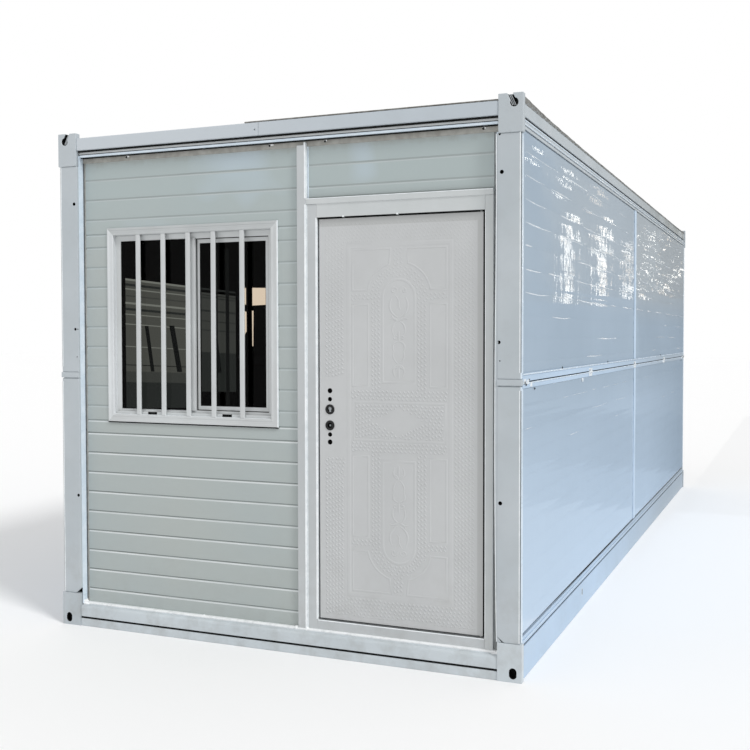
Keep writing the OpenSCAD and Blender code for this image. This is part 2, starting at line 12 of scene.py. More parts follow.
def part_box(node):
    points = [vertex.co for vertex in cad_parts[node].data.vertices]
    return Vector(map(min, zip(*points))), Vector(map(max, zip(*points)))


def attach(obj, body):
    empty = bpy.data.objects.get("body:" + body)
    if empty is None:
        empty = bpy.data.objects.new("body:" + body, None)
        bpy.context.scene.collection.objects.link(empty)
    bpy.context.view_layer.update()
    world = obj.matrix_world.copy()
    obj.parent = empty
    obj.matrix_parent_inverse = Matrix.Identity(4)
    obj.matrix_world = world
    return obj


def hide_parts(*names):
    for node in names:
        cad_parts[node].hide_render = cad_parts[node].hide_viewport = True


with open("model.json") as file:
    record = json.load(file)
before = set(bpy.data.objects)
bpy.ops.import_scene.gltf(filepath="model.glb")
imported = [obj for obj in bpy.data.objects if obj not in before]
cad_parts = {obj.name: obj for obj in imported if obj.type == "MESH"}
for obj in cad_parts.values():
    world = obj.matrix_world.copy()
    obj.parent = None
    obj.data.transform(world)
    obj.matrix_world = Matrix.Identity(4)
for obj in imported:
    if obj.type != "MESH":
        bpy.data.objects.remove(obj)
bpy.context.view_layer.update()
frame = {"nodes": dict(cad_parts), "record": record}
NODES = frame["nodes"]
TOP_RAIL_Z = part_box("end_wall_top_rails")[0][2]
SLOT_OF = {part["node"]: part["material_slot"] for part in frame["record"]["subparts"]}
BODY_OF = {node: "door" if node.startswith(("door_leaf", "door_lock")) else "house" for node in NODES}


# ---- Shader nodes ----

def linear(hex_colour):
    """An sRGB hex colour as linear RGBA."""
    parts = [int(hex_colour[i:i + 2], 16) / 255 for i in (1, 3, 5)]
    return [c / 12.92 if c <= 0.04045 else ((c + 0.055) / 1.055) ** 2.4 for c in parts] + [1.0]


def add(tree, kind, inputs=(), **settings):
    """Adds a shader node. Inputs go by name, or in the order of its sockets; a value that is a node
    or an output socket is linked."""
    made = tree.nodes.new("ShaderNode" + kind)
    for name, value in settings.items():
        setattr(made, name, value)
    for key, value in inputs.items() if isinstance(inputs, dict) else enumerate(inputs):
        if isinstance(value, bpy.types.Node):
            value = value.outputs[0]
        if isinstance(value, bpy.types.NodeSocket):
            tree.links.new(value, made.inputs[key])
        else:
            made.inputs[key].default_value = value
    return made


def start(name):
    """An empty material, and add() for its tree."""
    made = bpy.data.materials.new(name)
    made.use_nodes = True
    made.node_tree.nodes.clear()
    return made, partial(add, made.node_tree)


def finish(made, node, **inputs):
    """Closes a material with one Principled shader."""
    shader = node("BsdfPrincipled", {name.replace("_", " "): value for name, value in inputs.items()})
    node("OutputMaterial", (shader,))
    return made


def tint(node, body, share, strength, tone):
    """Takes a colour towards a tone: not at all where share is 0, and by strength where it is 1."""
    share = node("Math", (share, strength), operation="MULTIPLY")
    return node("MixRGB", (share, body, linear(tone)))


# ---- Kinds of surface ----
# A noise texture's scale is 1000 over the size of its blobs in millimetres.

def coat(name, colour, shade, mottle_mm, roughness, dust_and_glint_share=0.10, dust_and_glint="#8F8E88", clear=0.0,
         shine=0.5, peel_mm=3.0, peel=0.00004, fade=None, stains_and_painted_light=None):
    """A coat of paint on steel: its colour drifts towards a shade, and dust gathers near the ground;
    where dust_and_glint is a pale tone, as on the roof closures, its spots are painted glints. Fade is
    an axis, where along it a change starts and ends, and the colour it ends in.
    Stains_and_painted_light is a function that lays more over the colour: stains, painted shade or
    painted sheen."""
    made, node = start(name)
    where = node("TexCoord").outputs["Object"]
    place = node("SeparateXYZ", (where,)).outputs
    mottle = node("TexNoise", {"Vector": where, "Scale": 1000 / mottle_mm, "Detail": 3.0})
    body = node("MixRGB", (node("MapRange", (mottle, 0.35, 0.65)), linear(colour), linear(shade)))
    low = node("Math", (node("MapRange", (place["Z"], 0.55, 0.02)), 0.25), operation="ADD")
    dust_and_glint_noise = node("TexNoise", {"Vector": where, "Scale": 1000 / 90, "Detail": 5.0, "Roughness": 0.65})
    dust_and_glint_spots = node("Math", (low, node("MapRange", (dust_and_glint_noise, 0.45, 0.75))), operation="MULTIPLY")
    body = tint(node, body, dust_and_glint_spots, dust_and_glint_share, dust_and_glint)
    if fade:
        axis, begin, end, faded = fade
        body = node("MixRGB", (node("MapRange", (place[axis], begin, end)), body, linear(faded)))
    if stains_and_painted_light:
        body = stains_and_painted_light(node, where, body)
    handled = node("TexNoise", {"Vector": where, "Scale": 1000 / 60, "Detail": 3.0})
    sheen = node("MapRange", {"Value": handled, "To Min": roughness - 0.05, "To Max": roughness + 0.08})
    pebbles = node("TexNoise", {"Vector": where, "Scale": 1000 / peel_mm, "Detail": 1.0})
    bump = node("Bump", {"Height": pebbles, "Strength": 1.0, "Distance": peel})
    return finish(made, node, Base_Color=body, Roughness=sheen, Normal=bump, Coat_Weight=clear,
                  Specular_IOR_Level=shine)


def two_tone(name, first, second, blob_mm, low, high, detail=4.0, sheen=None, **inputs):
    """A surface whose first tone passes to its second in blobs. Sheen is its roughness in each."""
    made, node = start(name)
    where = node("TexCoord").outputs["Object"]
    blobs = node("TexNoise", {"Vector": where, "Scale": 1000 / blob_mm, "Detail": detail})
    share = node("MapRange", (blobs, low, high))
    if sheen:
        inputs["Roughness"] = node("MapRange", {"Value": share, "To Min": sheen[0], "To Max": sheen[1]})
    body = node("MixRGB", (share, linear(first), linear(second)))
    return finish(made, node, Base_Color=body, **inputs)


def glowing(name, colour, strength):
    """One even glow, for cards that only reflections see or that show only through glass."""
    made, node = start(name)
    light = node("Emission", (linear(colour), strength))
    node("OutputMaterial", (light,))
    return made


# ---- Finishes that need more than one call ----

def rear_darkening(node, where, body):
    """A darker grey in patches, more of it towards the back, over the roof rails' enamel."""
    place = node("SeparateXYZ", (where,)).outputs
    blotches = node("TexNoise", {"Vector": where, "Scale": 1000 / 300, "Detail": 4.0, "Roughness": 0.6})
    share = node("Math", (node("MapRange", (place["Y"], -0.8, 1.8)), node("MapRange", (blotches, 0.2, 0.6))),
                 operation="MULTIPLY")
    return node("MixRGB", (share, body, linear("#8E9393")))


def sheen_and_rail_band(node, where, body):
    """The end walls' upper half is painted cooler, with pale blotches, both painted sheen of the sky; a
    ragged dull band darkens the skin just under the top rail."""
    place = node("SeparateXYZ", (where,)).outputs
    body = tint(node, body, node("MapRange", (place["Z"], 1.85, 2.2)), 0.7, "#A8B5B6")
    upright = node("Mapping", {"Vector": where, "Scale": (1.0, 1.0, 0.25)})
    band_noise = node("TexNoise", {"Vector": upright, "Scale": 1000 / 60, "Detail": 5.0, "Roughness": 0.7})
    ragged = node("Math", (band_noise, 0.05), operation="MULTIPLY")
    height = node("Math", (place["Z"], ragged), operation="SUBTRACT")
    rail_band = node("MapRange", (height, TOP_RAIL_Z - 0.055, TOP_RAIL_Z - 0.015))
    body = tint(node, body, rail_band, 0.75, "#8F8F89")
    painted_sheen_blobs = node("TexNoise", {"Vector": where, "Scale": 1000 / 380, "Detail": 1.0})
    high = node("Math", (node("MapRange", (painted_sheen_blobs, 0.50, 0.66)), node("MapRange", (place["Z"], 1.9, 2.15))),
                operation="MULTIPLY")
    return tint(node, body, high, 0.7, "#B9C9D6")


def painted_margin_shadow(node, where, body):
    """A painted shadow along the door skin's top and hinge edge, where the head and the right post
    shade it: a darker band.
    """
    place = node("SeparateXYZ", (where,)).outputs
    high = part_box("door_leaf")[1]
    top = node("MapRange", (place["Z"], high[2] - 0.038, high[2] - 0.034))
    edge = node("MapRange", (place["X"], high[0] - 0.029, high[0] - 0.025))
    margin = node("Math", (top, edge), operation="MAXIMUM")
    return tint(node, body, margin, 0.55, "#A9ABAA")


def filmed_panel():
    """Coil-coated skin under its clear protective film: bluish and glossy. The film sags between the
    pressed lines and has loosened in swells and fine upright wrinkles, and in dimples on the rear
    half, which break up every reflection."""
    made, node = start("filmed_coil_coated_skin")
    where = node("TexCoord").outputs["Object"]
    place = node("SeparateXYZ", (where,)).outputs
    height, along = place["Z"], place["Y"]
    rear = node("MapRange", (along, -0.05, 0.05))

    def rippled(scale, size_mm, detail, roughness=0.5):
        stretched = node("Mapping", {"Vector": where, "Scale": scale})
        return node("TexNoise", {"Vector": stretched, "Scale": 1000 / size_mm, "Detail": detail,
                                 "Roughness": roughness})

    mottle = node("TexNoise", {"Vector": where, "Scale": 1000 / 900, "Detail": 3.0})
    body = node("MixRGB", (node("MapRange", (mottle, 0.3, 0.7)), linear("#A2B2C1"), linear("#99A9B8")))
    # Tones that stand for what it mirrors: duller high on the rear half, pale high up everywhere
    # but at the front corner, and shaded at the far foot. Lower down it is painted lighter and bluer, a
    # painted reflection of the ground and sky.
    ahead = node("MapRange", (along, -2.7, -1.4))
    for part, low, high, strength, tone in ((rear, 1.55, 1.8, 0.5, "#A5AAAC"),
                                            (ahead, 1.6, 2.0, 0.35, "#BDC2C4")):
        share = node("Math", (part, node("MapRange", (height, low, high))), operation="MULTIPLY")
        body = tint(node, body, share, strength, tone)
    upper = node("Math", (node("MapRange", (height, 1.26, 1.0)), 0.4), operation="MULTIPLY")
    lower = node("Math", (node("MapRange", (height, 1.0, 0.2)), 0.32), operation="MULTIPLY")
    low_sky_reflection = node("Math", (upper, lower), operation="ADD")
    body = node("MixRGB", (low_sky_reflection, body, linear("#C4D7EB")))
    shaded = node("Math", (node("MapRange", (along, 0.6, 2.6)), node("MapRange", (height, 1.26, 1.2))),
                  operation="MULTIPLY")
    body = tint(node, body, shaded, 0.45, "#8C9DAD")

    # The film hangs in a shallow belly between two pressed lines, which are 94 mm apart.
    strip = node("Math", (node("Math", (height, 0.094), operation="DIVIDE"), 0.0), operation="FRACT")
    belly = node("Math", (strip, node("Math", (1.0, strip), operation="SUBTRACT")), operation="MULTIPLY")
    dimples = node("Math", (rear, rippled((1.0, 0.4, 1.6), 110, 1.0, 0.4)), operation="MULTIPLY")
    front = node("Math", (1.0, rear), operation="SUBTRACT")
    wrinkles = node("Math", (front, rippled((1.0, 0.8, 0.16), 85, 3.0, 0.6)), operation="MULTIPLY")
    waves = node("Bump", {"Height": rippled((1.0, 0.6, 1.3), 350, 2.0), "Strength": 1.0,
                          "Distance": 0.0009})
    skin = node("Bump", {"Height": rippled((1.0, 0.8, 0.5), 160, 2.0), "Strength": 1.0,
                         "Distance": 0.0004, "Normal": waves})
    film = skin
    for shape, depth in ((dimples, 0.0014), (belly, 0.0022), (wrinkles, 0.0006)):
        film = node("Bump", {"Height": shape, "Strength": 1.0, "Distance": depth, "Normal": film})
    return finish(made, node, Base_Color=body, Roughness=0.45, Specular_IOR_Level=0.1, Normal=skin,
                  Coat_Weight=0.55, Coat_Roughness=0.02, Coat_IOR=1.35, Coat_Normal=film)


def line_slope(name, strong, weak):
    """Coil-coated skin on one slope of a pressed line, in a painted shade or a painted highlight as its
    tones are given. The painting is strongest below the window."""
    made, node = start(name)
    where = node("TexCoord").outputs["Object"]
    height = node("SeparateXYZ", (where,)).outputs["Z"]
    body = node("MixRGB", (node("MapRange", (height, 1.02, 1.10)), linear(strong), linear(weak)))
    level = node("Mapping", {"Vector": where, "Scale": (0.2, 1.0, 1.0)})
    patches = node("TexNoise", {"Vector": level, "Scale": 1000 / 60, "Detail": 3.0})
    body = tint(node, body, node("MapRange", (patches, 0.3, 0.7)), 0.45, "#A8B1B1")
    return finish(made, node, Base_Color=body, Roughness=0.35)


def float_glass():
    """Grey-tinted float glass 5 mm thick: from outside it is almost black, with a faint mirror."""
    made, node = start("tinted_float_glass")
    return finish(made, node, Base_Color=linear("#303333"), Transmission_Weight=1.0, Roughness=0.0,
                  IOR=1.13)


def galvanised_steel():
    """Hot-dip galvanised section: grey zinc with spangles about 12 mm across."""
    made, node = start("galvanised_steel")
    where = node("TexCoord").outputs["Object"]
    spangle = node("TexVoronoi", {"Vector": where, "Scale": 1000 / 12}).outputs["Color"]
    tone = node("SeparateXYZ", (spangle,))
    body = node("MixRGB", (tone, linear("#8E9396"), linear("#B3B8BA")))
    return finish(made, node, Base_Color=body, Metallic=1.0, Roughness=0.45)


def plywood():
    """Rotary-cut plywood floor: brown veneer whose long grain runs along the house."""
    made, node = start("rotary_cut_plywood")
    where = node("TexCoord").outputs["Object"]
    drawn = node("Mapping", {"Vector": where, "Scale": (1.0, 0.06, 1.0)})
    grain = node("TexNoise", {"Vector": drawn, "Scale": 1000 / 18, "Detail": 5.0, "Roughness": 0.6})
    figure = node("Mapping", {"Vector": where, "Scale": (1.0, 0.12, 1.0)})
    band = node("TexWave", {"Vector": figure, "Scale": 6.0, "Distortion": 9.0, "Detail": 2.0})
    veneer = node("MixRGB", (node("MapRange", (grain, 0.3, 0.7)), linear("#8A7354"), linear("#6B5539")))
    bands = node("MixRGB", (band.outputs["Fac"], linear("#94805F"), linear("#5C4930")))
    body = node("MixRGB", (0.25, veneer, bands))
    bump = node("Bump", {"Height": grain, "Strength": 1.0, "Distance": 0.0002})
    return finish(made, node, Base_Color=body, Roughness=0.6, Normal=bump)


# ---- The finishes ----

FINISH = {
    # Satin enamel sprayed on folded steel: cool pale grey, with faint orange peel and grubby marks.
    "frame_paint": coat("sprayed_satin_enamel", "#BAC1C6", "#B1B9BE", 420, 0.36, 0.35),
    # Coil-coated skin of the end walls: flat grey-green satin.
    "end_panel_paint": coat("coil_coated_wall_skin", "#A8B1B1", "#ABB2B0", 700, 0.30, 0.15,
                            stains_and_painted_light=sheen_and_rail_band),
    "side_panel_film": filmed_panel(),
    # Baked polyester on thin folded trims: a little whiter and glossier than the frame.
    "trim_paint": coat("baked_polyester_trim", "#C0C4C6", "#B8BCBE", 300, 0.33, 0.25),
    # Powder coat on drawn aluminium: clean, even and whiter than the wall around it.
    "window_alloy": coat("powder_coated_aluminium", "#C9CDCE", "#C2C5C6", 250, 0.38, 0.2),
    "window_glass": float_glass(),
    # Powder coat on the pressed door skin: neutral pale grey, finely pebbled and nearly matt.
    "door_paint": coat("powder_coated_door_skin", "#C2C4C5", "#BDBFC0", 350, 0.48, 0.2, peel_mm=2.0,
                       peel=0.00008, stains_and_painted_light=painted_margin_shadow),
    # Bright zinc on pressed steel: grey, semi-polished, with a cloudy bloom.
    "bare_steel": two_tone("zinc_plated_steel", "#A9ADB0", "#83888B", 14, 0.35, 0.7,
                           sheen=(0.32, 0.5), Metallic=1.0),
    # Coil-coated roofing sheet, dulled by weather and with dust in the pans.
    "roof_paint": coat("coil_coated_roof_sheet", "#9EA6AB", "#8B9398", 500, 0.5, 0.6),
    # Coil-coated ceiling skin: clean white with a soft sheen.
    "ceiling_paint": coat("coil_coated_ceiling_skin", "#DADCDB", "#D2D5D5", 600, 0.42, 0.0),
    "floor_board": plywood(),
    "joist_zinc": galvanised_steel(),
}
# The frame's enamel painted lighter: on the base beams, and on the right-hand foot blocks as painted
# light from the right.
LIGHTER_ENAMEL = coat("lighter_satin_enamel", "#C8D0D5", "#BFC7CC", 420, 0.36, 0.3)
# The frame's enamel on the front roof beam, a little chalked, and lighter towards the left.
CHALKED_ENAMEL = coat("chalked_satin_enamel", "#BBC4CB", "#B5BDC4", 420, 0.36, 0.2,
                      fade=("X", 0.6, -0.5, "#C2C9CF"))
# The same enamel on the base and fold rails, bluish, partly from a thin film and partly a painted
# reflection of the sky; towards the back it is painted duller, as painted shade.
FILM_AND_SKY_RAIL = coat("film_and_painted_sky_enamel", "#B8CBDF", "#B1C4D7", 700, 0.5, 0.06, shine=0.12,
                   fade=("Y", -1.2, 1.5, "#A3AFBA"))
# The frame's enamel on the roof rails, darker grey in patches, more so towards the rear.
REAR_DARKER_RAIL = coat("rear_darker_satin_enamel", "#BAC1C6", "#B1B9BE", 420, 0.36, 0.35, stains_and_painted_light=rear_darkening)
# Polyester on the trims round the door, lighter than the other trims; on the right jamb the lighter
# colour is painted light against the post's shade.
LIGHTENED_DOOR_TRIM = coat("lightened_polyester_trim", "#C9CDCE", "#C0C5C6", 300, 0.33, 0.2)
# Near-white polyester: on edges, beads, rims and the window sill it is a painted highlight where
# they catch the sky; the fold's catches and hinges wear it as white paint.
WHITE_AND_HIGHLIGHT = coat("white_paint_and_painted_highlight", "#F1F5F7", "#E2E8EB", 45, 0.25, 0.15, clear=0.3)
# Glossy bright bluish enamel on narrow outer edges, lips, the posts' noses and the bars' right
# sides: a painted highlight of the sky.
BLUISH_HIGHLIGHT = coat("painted_bluish_highlight", "#DEE9F3", "#D0DEEA", 60, 0.25, 0.08, clear=0.3)
# The cover strips' enamel under film: a shade bluer and lighter than the panels.
FILMED_STRIP = coat("filmed_cover_strip", "#C6D8EA", "#BBCEE1", 200, 0.4, 0.08)
# Trim under the roof that rain and rust water have stained a dull brown in ragged patches.
STAINED_TRIM = coat("rain_stained_trim", "#AAAAA5", "#94938D", 45, 0.45, 0.4)
# The window's powder coat on the casing's head, darker: painted shade under the roof.
SHADED_HEAD = coat("painted_shade_aluminium_head", "#BCC0C1", "#B4B8B9", 250, 0.38, 0.2)
# The window's powder coat on the casing's left side, whiter: painted light, as the light from the
# right falls on it.
LIT_LEFT = coat("painted_light_aluminium_left", "#D6DADC", "#CFD3D5", 250, 0.38, 0.2)
# Grey foam tape squeezed between two sections: matt and weathered.
FOAM_TAPE = coat("weathered_foam_tape", "#6E757A", "#5C6368", 30, 0.9, 0.3)
# Grey sealant in the gap beside the right post: dull and grimy.
GREY_SEALANT = coat("aged_grey_sealant", "#A3A7A8", "#868A8C", 30, 0.9, 0.3)
# Foam closure under the roof sheet's ribs: dark brown-grey as a painted shade of the open rib ends,
# crumbled, with pale flecks that are painted glints.
CLOSURE_SHADE_AND_GLINTS = coat("closure_painted_shade_and_glints", "#7C7B76", "#54524E", 16, 0.9, 0.8, dust_and_glint="#D4DADD")
# The hollow under a pinched crease, where the film lies loose and shades the skin.
FILM_HOLLOW = coat("shaded_film_hollow", "#8C98A2", "#9AA7B3", 60, 0.4, 0.05)
# Film pinched up along a pressed line: a thin lip coloured near white, a painted highlight.
CREASE_HIGHLIGHT = two_tone("crease_painted_highlight", "#F2F6F9", "#D3DFE9", 40, 0.35, 0.65, detail=3.0,
                        Roughness=0.15, Coat_Weight=0.5)
# Oil-blackened steel of bolts and lock parts: almost black with a dull shine.
BLACK_STEEL = two_tone("oil_blackened_steel", "#0E0F10", "#26282A", 6, 0.5, 0.8, sheen=(0.5, 0.7),
                       Metallic=0.3)
# Extruded black rubber: matt and slightly dusty. The same near-black also stands as painted shade
# in the grooves and gaps along the rails and under the roof beam.
RUBBER_AND_SHADE = two_tone("rubber_and_painted_shade", "#121313", "#2A2B2A", 25, 0.5, 0.9, Roughness=0.9,
                  Specular_IOR_Level=0.2)
# Near-black inside pockets, holes, cuts and slots: painted shade of the hollows, mottled.
HOLLOW_SHADE = two_tone("painted_hollow_shade", "#050606", "#151717", 12, 0.4, 0.7, detail=5.0,
                  Roughness=0.9, Specular_IOR_Level=0.15)
# Silicone sealant smoothed with a finger: white, soft-edged and a little glossy.
WHITE_SEALANT = two_tone("white_silicone_sealant", "#F6F8F9", "#DADEDF", 30, 0.5, 0.8, Roughness=0.4)
# Painted shade for the pressed lines' downward slopes and painted highlight for their upward ones.
PAINTED_SLOPES = [line_slope("pressed_line_shade", "#6E7674", "#949D9D"),
          line_slope("pressed_line_light", "#DDE2E3", "#B9C2C3")]


# ---- Making pieces ----

def box_of(node):
    """The corners of a node's box."""
    low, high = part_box(node)
    return Vector(low), Vector(high)


def show(name, bm, materials):
    """Puts a bmesh into the scene as an object."""
    mesh = bpy.data.meshes.new(name)
    bm.to_mesh(mesh)
    bm.free()
    for material in materials:
        mesh.materials.append(material)
    shown = bpy.data.objects.new(name, mesh)
    bpy.context.scene.collection.objects.link(shown)
    return shown


def make_piece(name, bm, slot, *materials, body="house", replaces=(), smooth_under=40):
    """Turns a bmesh into a piece of the house, in its slot's finish unless materials are given."""
    bmesh.ops.recalc_face_normals(bm, faces=bm.faces)
    piece = show(name, bm, materials or [FINISH[slot]])
    piece.data.shade_smooth()
    piece.data.set_sharp_from_angle(angle=math.radians(smooth_under))
    piece.modifiers.new("even_normals", "WEIGHTED_NORMAL").keep_sharp = True
    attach(piece, body)
    if replaces:
        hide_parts(*replaces)


def ease_edges(bm, width):
    """Rounds the edges where faces turn by more than 40 degrees."""
    edges = [e for e in bm.edges if e.is_manifold and e.calc_face_angle() > math.radians(40)]
    bmesh.ops.bevel(bm, geom=edges, offset=width, offset_type="OFFSET", segments=2, profile=0.5,
                    affect="EDGES", clamp_overlap=True)


def node_form(node):
    """A node's solid as a clean bmesh: welded, with flat faces whole again."""
    bm = bmesh.new()
    bm.from_mesh(NODES[node].data)
    bmesh.ops.remove_doubles(bm, verts=bm.verts, dist=0.00003)
    bmesh.ops.dissolve_limit(bm, angle_limit=math.radians(1), verts=bm.verts, edges=bm.edges)
    return bm


def cut(bm, cutters):
    """Cuts one bmesh out of another; the new faces take the second material."""
    shades = [bpy.data.materials.new("cut_%d" % i) for i in range(2)]
    whole, hole = show("cut_whole", bm, shades), show("cut_hole", cutters, shades[1:])
    boolean = whole.modifiers.new("cut", "BOOLEAN")
    boolean.object = hole
    boolean.solver = "EXACT"
    boolean.material_mode = "TRANSFER"
    result = bpy.data.meshes.new_from_object(whole.evaluated_get(
        bpy.context.evaluated_depsgraph_get()))
    order = [result.materials.find(shade.name) for shade in shades]
    bm = bmesh.new()
    bm.from_mesh(result)
    for face in bm.faces:
        face.material_index = order.index(face.material_index)
    for item in (whole, hole):
        bpy.data.objects.remove(item)
    for shade in shades:
        bpy.data.materials.remove(shade)
    bpy.data.meshes.remove(result)
    return bm


def finish_node(node, bm, *materials):
    """Shows a bmesh in place of its node, in the node's slot and on its body."""
    make_piece(node + "_finished", bm, SLOT_OF[node], *materials, body=BODY_OF[node], replaces=(node,))


def dress(node, ease, *materials, cutters=None):
    """Shows a node with eased edges, less the shapes in cutters, in its slot's finish unless
    materials are given."""
    bm = node_form(node)
    if ease:
        ease_edges(bm, ease)
    if cutters:
        bm = cut(bm, cutters)
    finish_node(node, bm, *materials or (FINISH[SLOT_OF[node]], HOLLOW_SHADE))


def add_box(bm, low, high, ease=0.0):
    """A box with eased edges."""
    low, high = Vector(low), Vector(high)
    size = Matrix.Diagonal((high - low).to_4d())
    made = bmesh.ops.create_cube(bm, size=1.0, matrix=Matrix.Translation((low + high) / 2) @ size)
    if ease:
        edges = {e for v in made["verts"] for e in v.link_edges}
        bmesh.ops.bevel(bm, geom=list(edges), offset=ease, offset_type="OFFSET", segments=2,
                        profile=0.5, affect="EDGES", clamp_overlap=True)


def add_pair(bm, low, high, ease=0.0, axis=0):
    """A box and its mirror image on the other side of the house, or at its other end if axis is 1."""
    for side in (-1, 1):
        ends = Vector(low), Vector(high)
        for corner in ends:
            corner[axis] *= side
        add_box(bm, [min(pair) for pair in zip(*ends)], [max(pair) for pair in zip(*ends)], ease)


def add_prism(bm, outline, w1, w2, place):
    """Extrudes an outline of (u, v) points from w1 to w2; place maps (u, v, w) to metres."""
    near, far = [[bm.verts.new(place(u, v, w)) for u, v in outline] for w in (w1, w2)]
    bm.faces.new(near)
    bm.faces.new(reversed(far))
    for i in range(len(outline)):
        j = (i + 1) % len(outline)
        bm.faces.new((near[i], far[i], far[j], near[j]))


def add_turned(bm, profile, centre, axis, steps=20):
    """Turns a closed profile of (radius, height) points round an axis through centre."""
    axis = Vector(axis).normalized()
    across = axis.orthogonal().normalized()
    rings = []
    for radius, height in profile:
        middle = Vector(centre) + axis * height
        if radius == 0:
            rings.append([bm.verts.new(middle)] * steps)
        else:
            spokes = [Matrix.Rotation(2 * math.pi * i / steps, 3, axis) @ across for i in range(steps)]
            rings.append([bm.verts.new(middle + radius * spoke) for spoke in spokes])
    for ring, after in zip(rings, rings[1:]):
        for i in range(steps):
            j = (i + 1) % steps
            corners = list(dict.fromkeys((ring[i], ring[j], after[j], after[i])))
            if len(corners) > 2:
                bm.faces.new(corners)


def add_plug(bm, centre, axis, radius, depth):
    """A plain round bar that starts at centre and runs along axis, for cutting holes."""
    add_turned(bm, [(0, 0), (radius, 0), (radius, depth), (0, depth)], centre, axis)


def add_screw(bm, centre, axis, radius, washer=0.0):
    """A domed screw head, with a washer under it if its radius is given."""
    base = 0.0
    if washer:
        add_turned(bm, [(0, 0), (washer, 0), (washer, 0.0012), (washer * 0.7, 0.002), (0, 0.002)],
                   centre, axis, 16)
        base = 0.0019
    rise = radius * 0.55
    dome = [(radius * math.cos(a), base + rise * math.sin(a)) for a in (0.0, 0.5, 1.0)]
    add_turned(bm, [(0, base)] + dome + [(radius * 0.3, base + rise), (0, base + rise * 0.7)],
               centre, axis, 12)


# Cross-sections of beads: across in half widths, up in heights.
ROUND_BEAD = ((-1.0, 0.0), (-0.8, 0.55), (-0.35, 0.95), (0.35, 0.95), (0.8, 0.55), (1.0, 0.0))
FLAT_BEAD = ((-1.0, 0.0), (-0.62, 0.85), (-0.45, 1.0), (0.45, 1.0), (0.62, 0.85), (1.0, 0.0))
SHARP_BEAD = ((-1.0, 0.0), (-0.25, 1.0), (0.25, 1.0), (1.0, 0.0))


def add_bead(bm, path, width, height, place, closed=False, profile=ROUND_BEAD, material=0):
    """Raises a bead along (u, v) points. Width is across its foot, one number or one per point;
    where the bead is narrower it is lower too."""
    path = [Vector(p) for p in path]
    count = len(path)
    widths = width if isinstance(width, list) else [width] * count
    rows = []
    for i, here in enumerate(path):
        back = here - path[i - 1] if closed or i else path[1] - here
        on = path[(i + 1) % count] - here if closed or i < count - 1 else back
        back, on = back.normalized(), on.normalized()
        middle = (back + on).normalized()
        mitre = 1 / max(0.5, middle.dot(on))
        half = widths[i] / 2
        side = Vector((-middle.y, middle.x)) * half * mitre
        rise = height * widths[i] / max(widths)
        rows.append([bm.verts.new(place(*(here + side * across), rise * up)) for across, up in profile])
    made = []
    for one, other in zip(rows, rows[1:] + rows[:1] if closed else rows[1:]):
        for i in range(len(profile)):
            j = (i + 1) % len(profile)
            made.append(bm.faces.new((one[i], one[j], other[j], other[i])))
    if not closed:
        made += [bm.faces.new(rows[0]), bm.faces.new(reversed(rows[-1]))]
    for face in made:
        face.material_index = material


def arc(centre, radius, start, end, steps):
    """Points on an arc; angles in degrees, counted from +u towards +v."""
    angles = [math.radians(start + (end - start) * i / steps) for i in range(steps + 1)]
    return [(centre[0] + radius * math.cos(a), centre[1] + radius * math.sin(a)) for a in angles]


def slot_outline(u, v, radius, reach, steps):
    """An upright slot whose round ends are centred reach above and below (u, v)."""
    return arc((u, v + reach), radius, 0, 180, steps) + arc((u, v - reach), radius, 180, 360, steps)


def on_front(y, end=-1):
    """Maps (x, z) points and a rise outwards to metres, on the plane at y of the house's front, or
    of its rear if end is 1."""
    return lambda u, v, w: Vector((u, y + end * w, v))


def on_side(x, side):
    """Maps (y, z) points and a rise towards a side, 1 right or -1 left, to metres, on the plane at x."""
    return lambda u, v, w: Vector((x + side * w, u, v))


def behind_front(u, v, w):
    """Maps (x, z) points and a depth behind the posts' end faces to metres."""
    return Vector((u, FRONT_Y + w, v))


def across_house(u, v, w):
    """Maps (y, z) points and an x to metres."""
    return Vector((w, u, v))


# ---- Planes and places, most of them taken from the solids ----

POST_LOW, POST_HIGH = box_of("front_right_post")
FOOT_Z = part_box("bottom_corner_blocks")[1][2]
BEAM_LOW, BEAM_HIGH = box_of("base_beam_front")
LEAF_LOW, LEAF_HIGH = box_of("door_leaf")
CASING_LOW, CASING_HIGH = box_of("window_frame")
RAIL_LOW, RAIL_HIGH = box_of("base_rail_right")
FRONT_Y = POST_LOW.y
POST_IN = POST_LOW.x
# Where the strips down the posts' outer edges stop, painted highlights among them: below and above
# the fold band, and at the top.
FOLD_BAND_Z = (1.254, 1.319)
POST_TOP = 2.350
WALL_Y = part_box("front_wall_lower")[0][1]
WALL_FOOT_Z = BEAM_HIGH.z + 0.004
BEAM_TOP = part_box("roof_beam_front")[1][2]
# Heights of the grooves and lips along the base and the roof.
BASE_GROOVE = (0.0383, 0.0477)
BASE_RAIL_GROOVE, BASE_LIP_TOP = 0.140, 0.165
ROOF_RAIL_GROOVE, ROOF_LIP = 2.399, (2.375, 2.399)
GROOVE_FRONT, GROOVE_BACK = 0.006, 0.0137
# How deep the pockets go that are painted near-black as shade, and the posts' outer noses that take
# a painted highlight.
POCKET_DEEP, NOSE_DEEP = 0.024, 0.029
MULLION_LAP = 0.008
# The window's light inside its casing, its fixed frame, its sash and its bars.
CASING_W, BAND_W, STILE_W, SASH_W, SASH_T = 0.038, 0.028, 0.036, 0.050, 0.016
LIGHT_X, LIGHT_X2 = CASING_LOW.x + CASING_W, CASING_HIGH.x - CASING_W
LIGHT_Z, LIGHT_Z2 = CASING_LOW.z + CASING_W, CASING_HIGH.z - CASING_W
LIGHT_MIDDLE = (LIGHT_X + LIGHT_X2) / 2
FIXED_Y = WALL_Y + 0.014
WINDOW_BACK = -2.8205
BAR_W = 0.026
BAR_X = (-0.773, -0.625, -0.480, -0.336, -0.176)


# ---- Corner blocks and posts ----

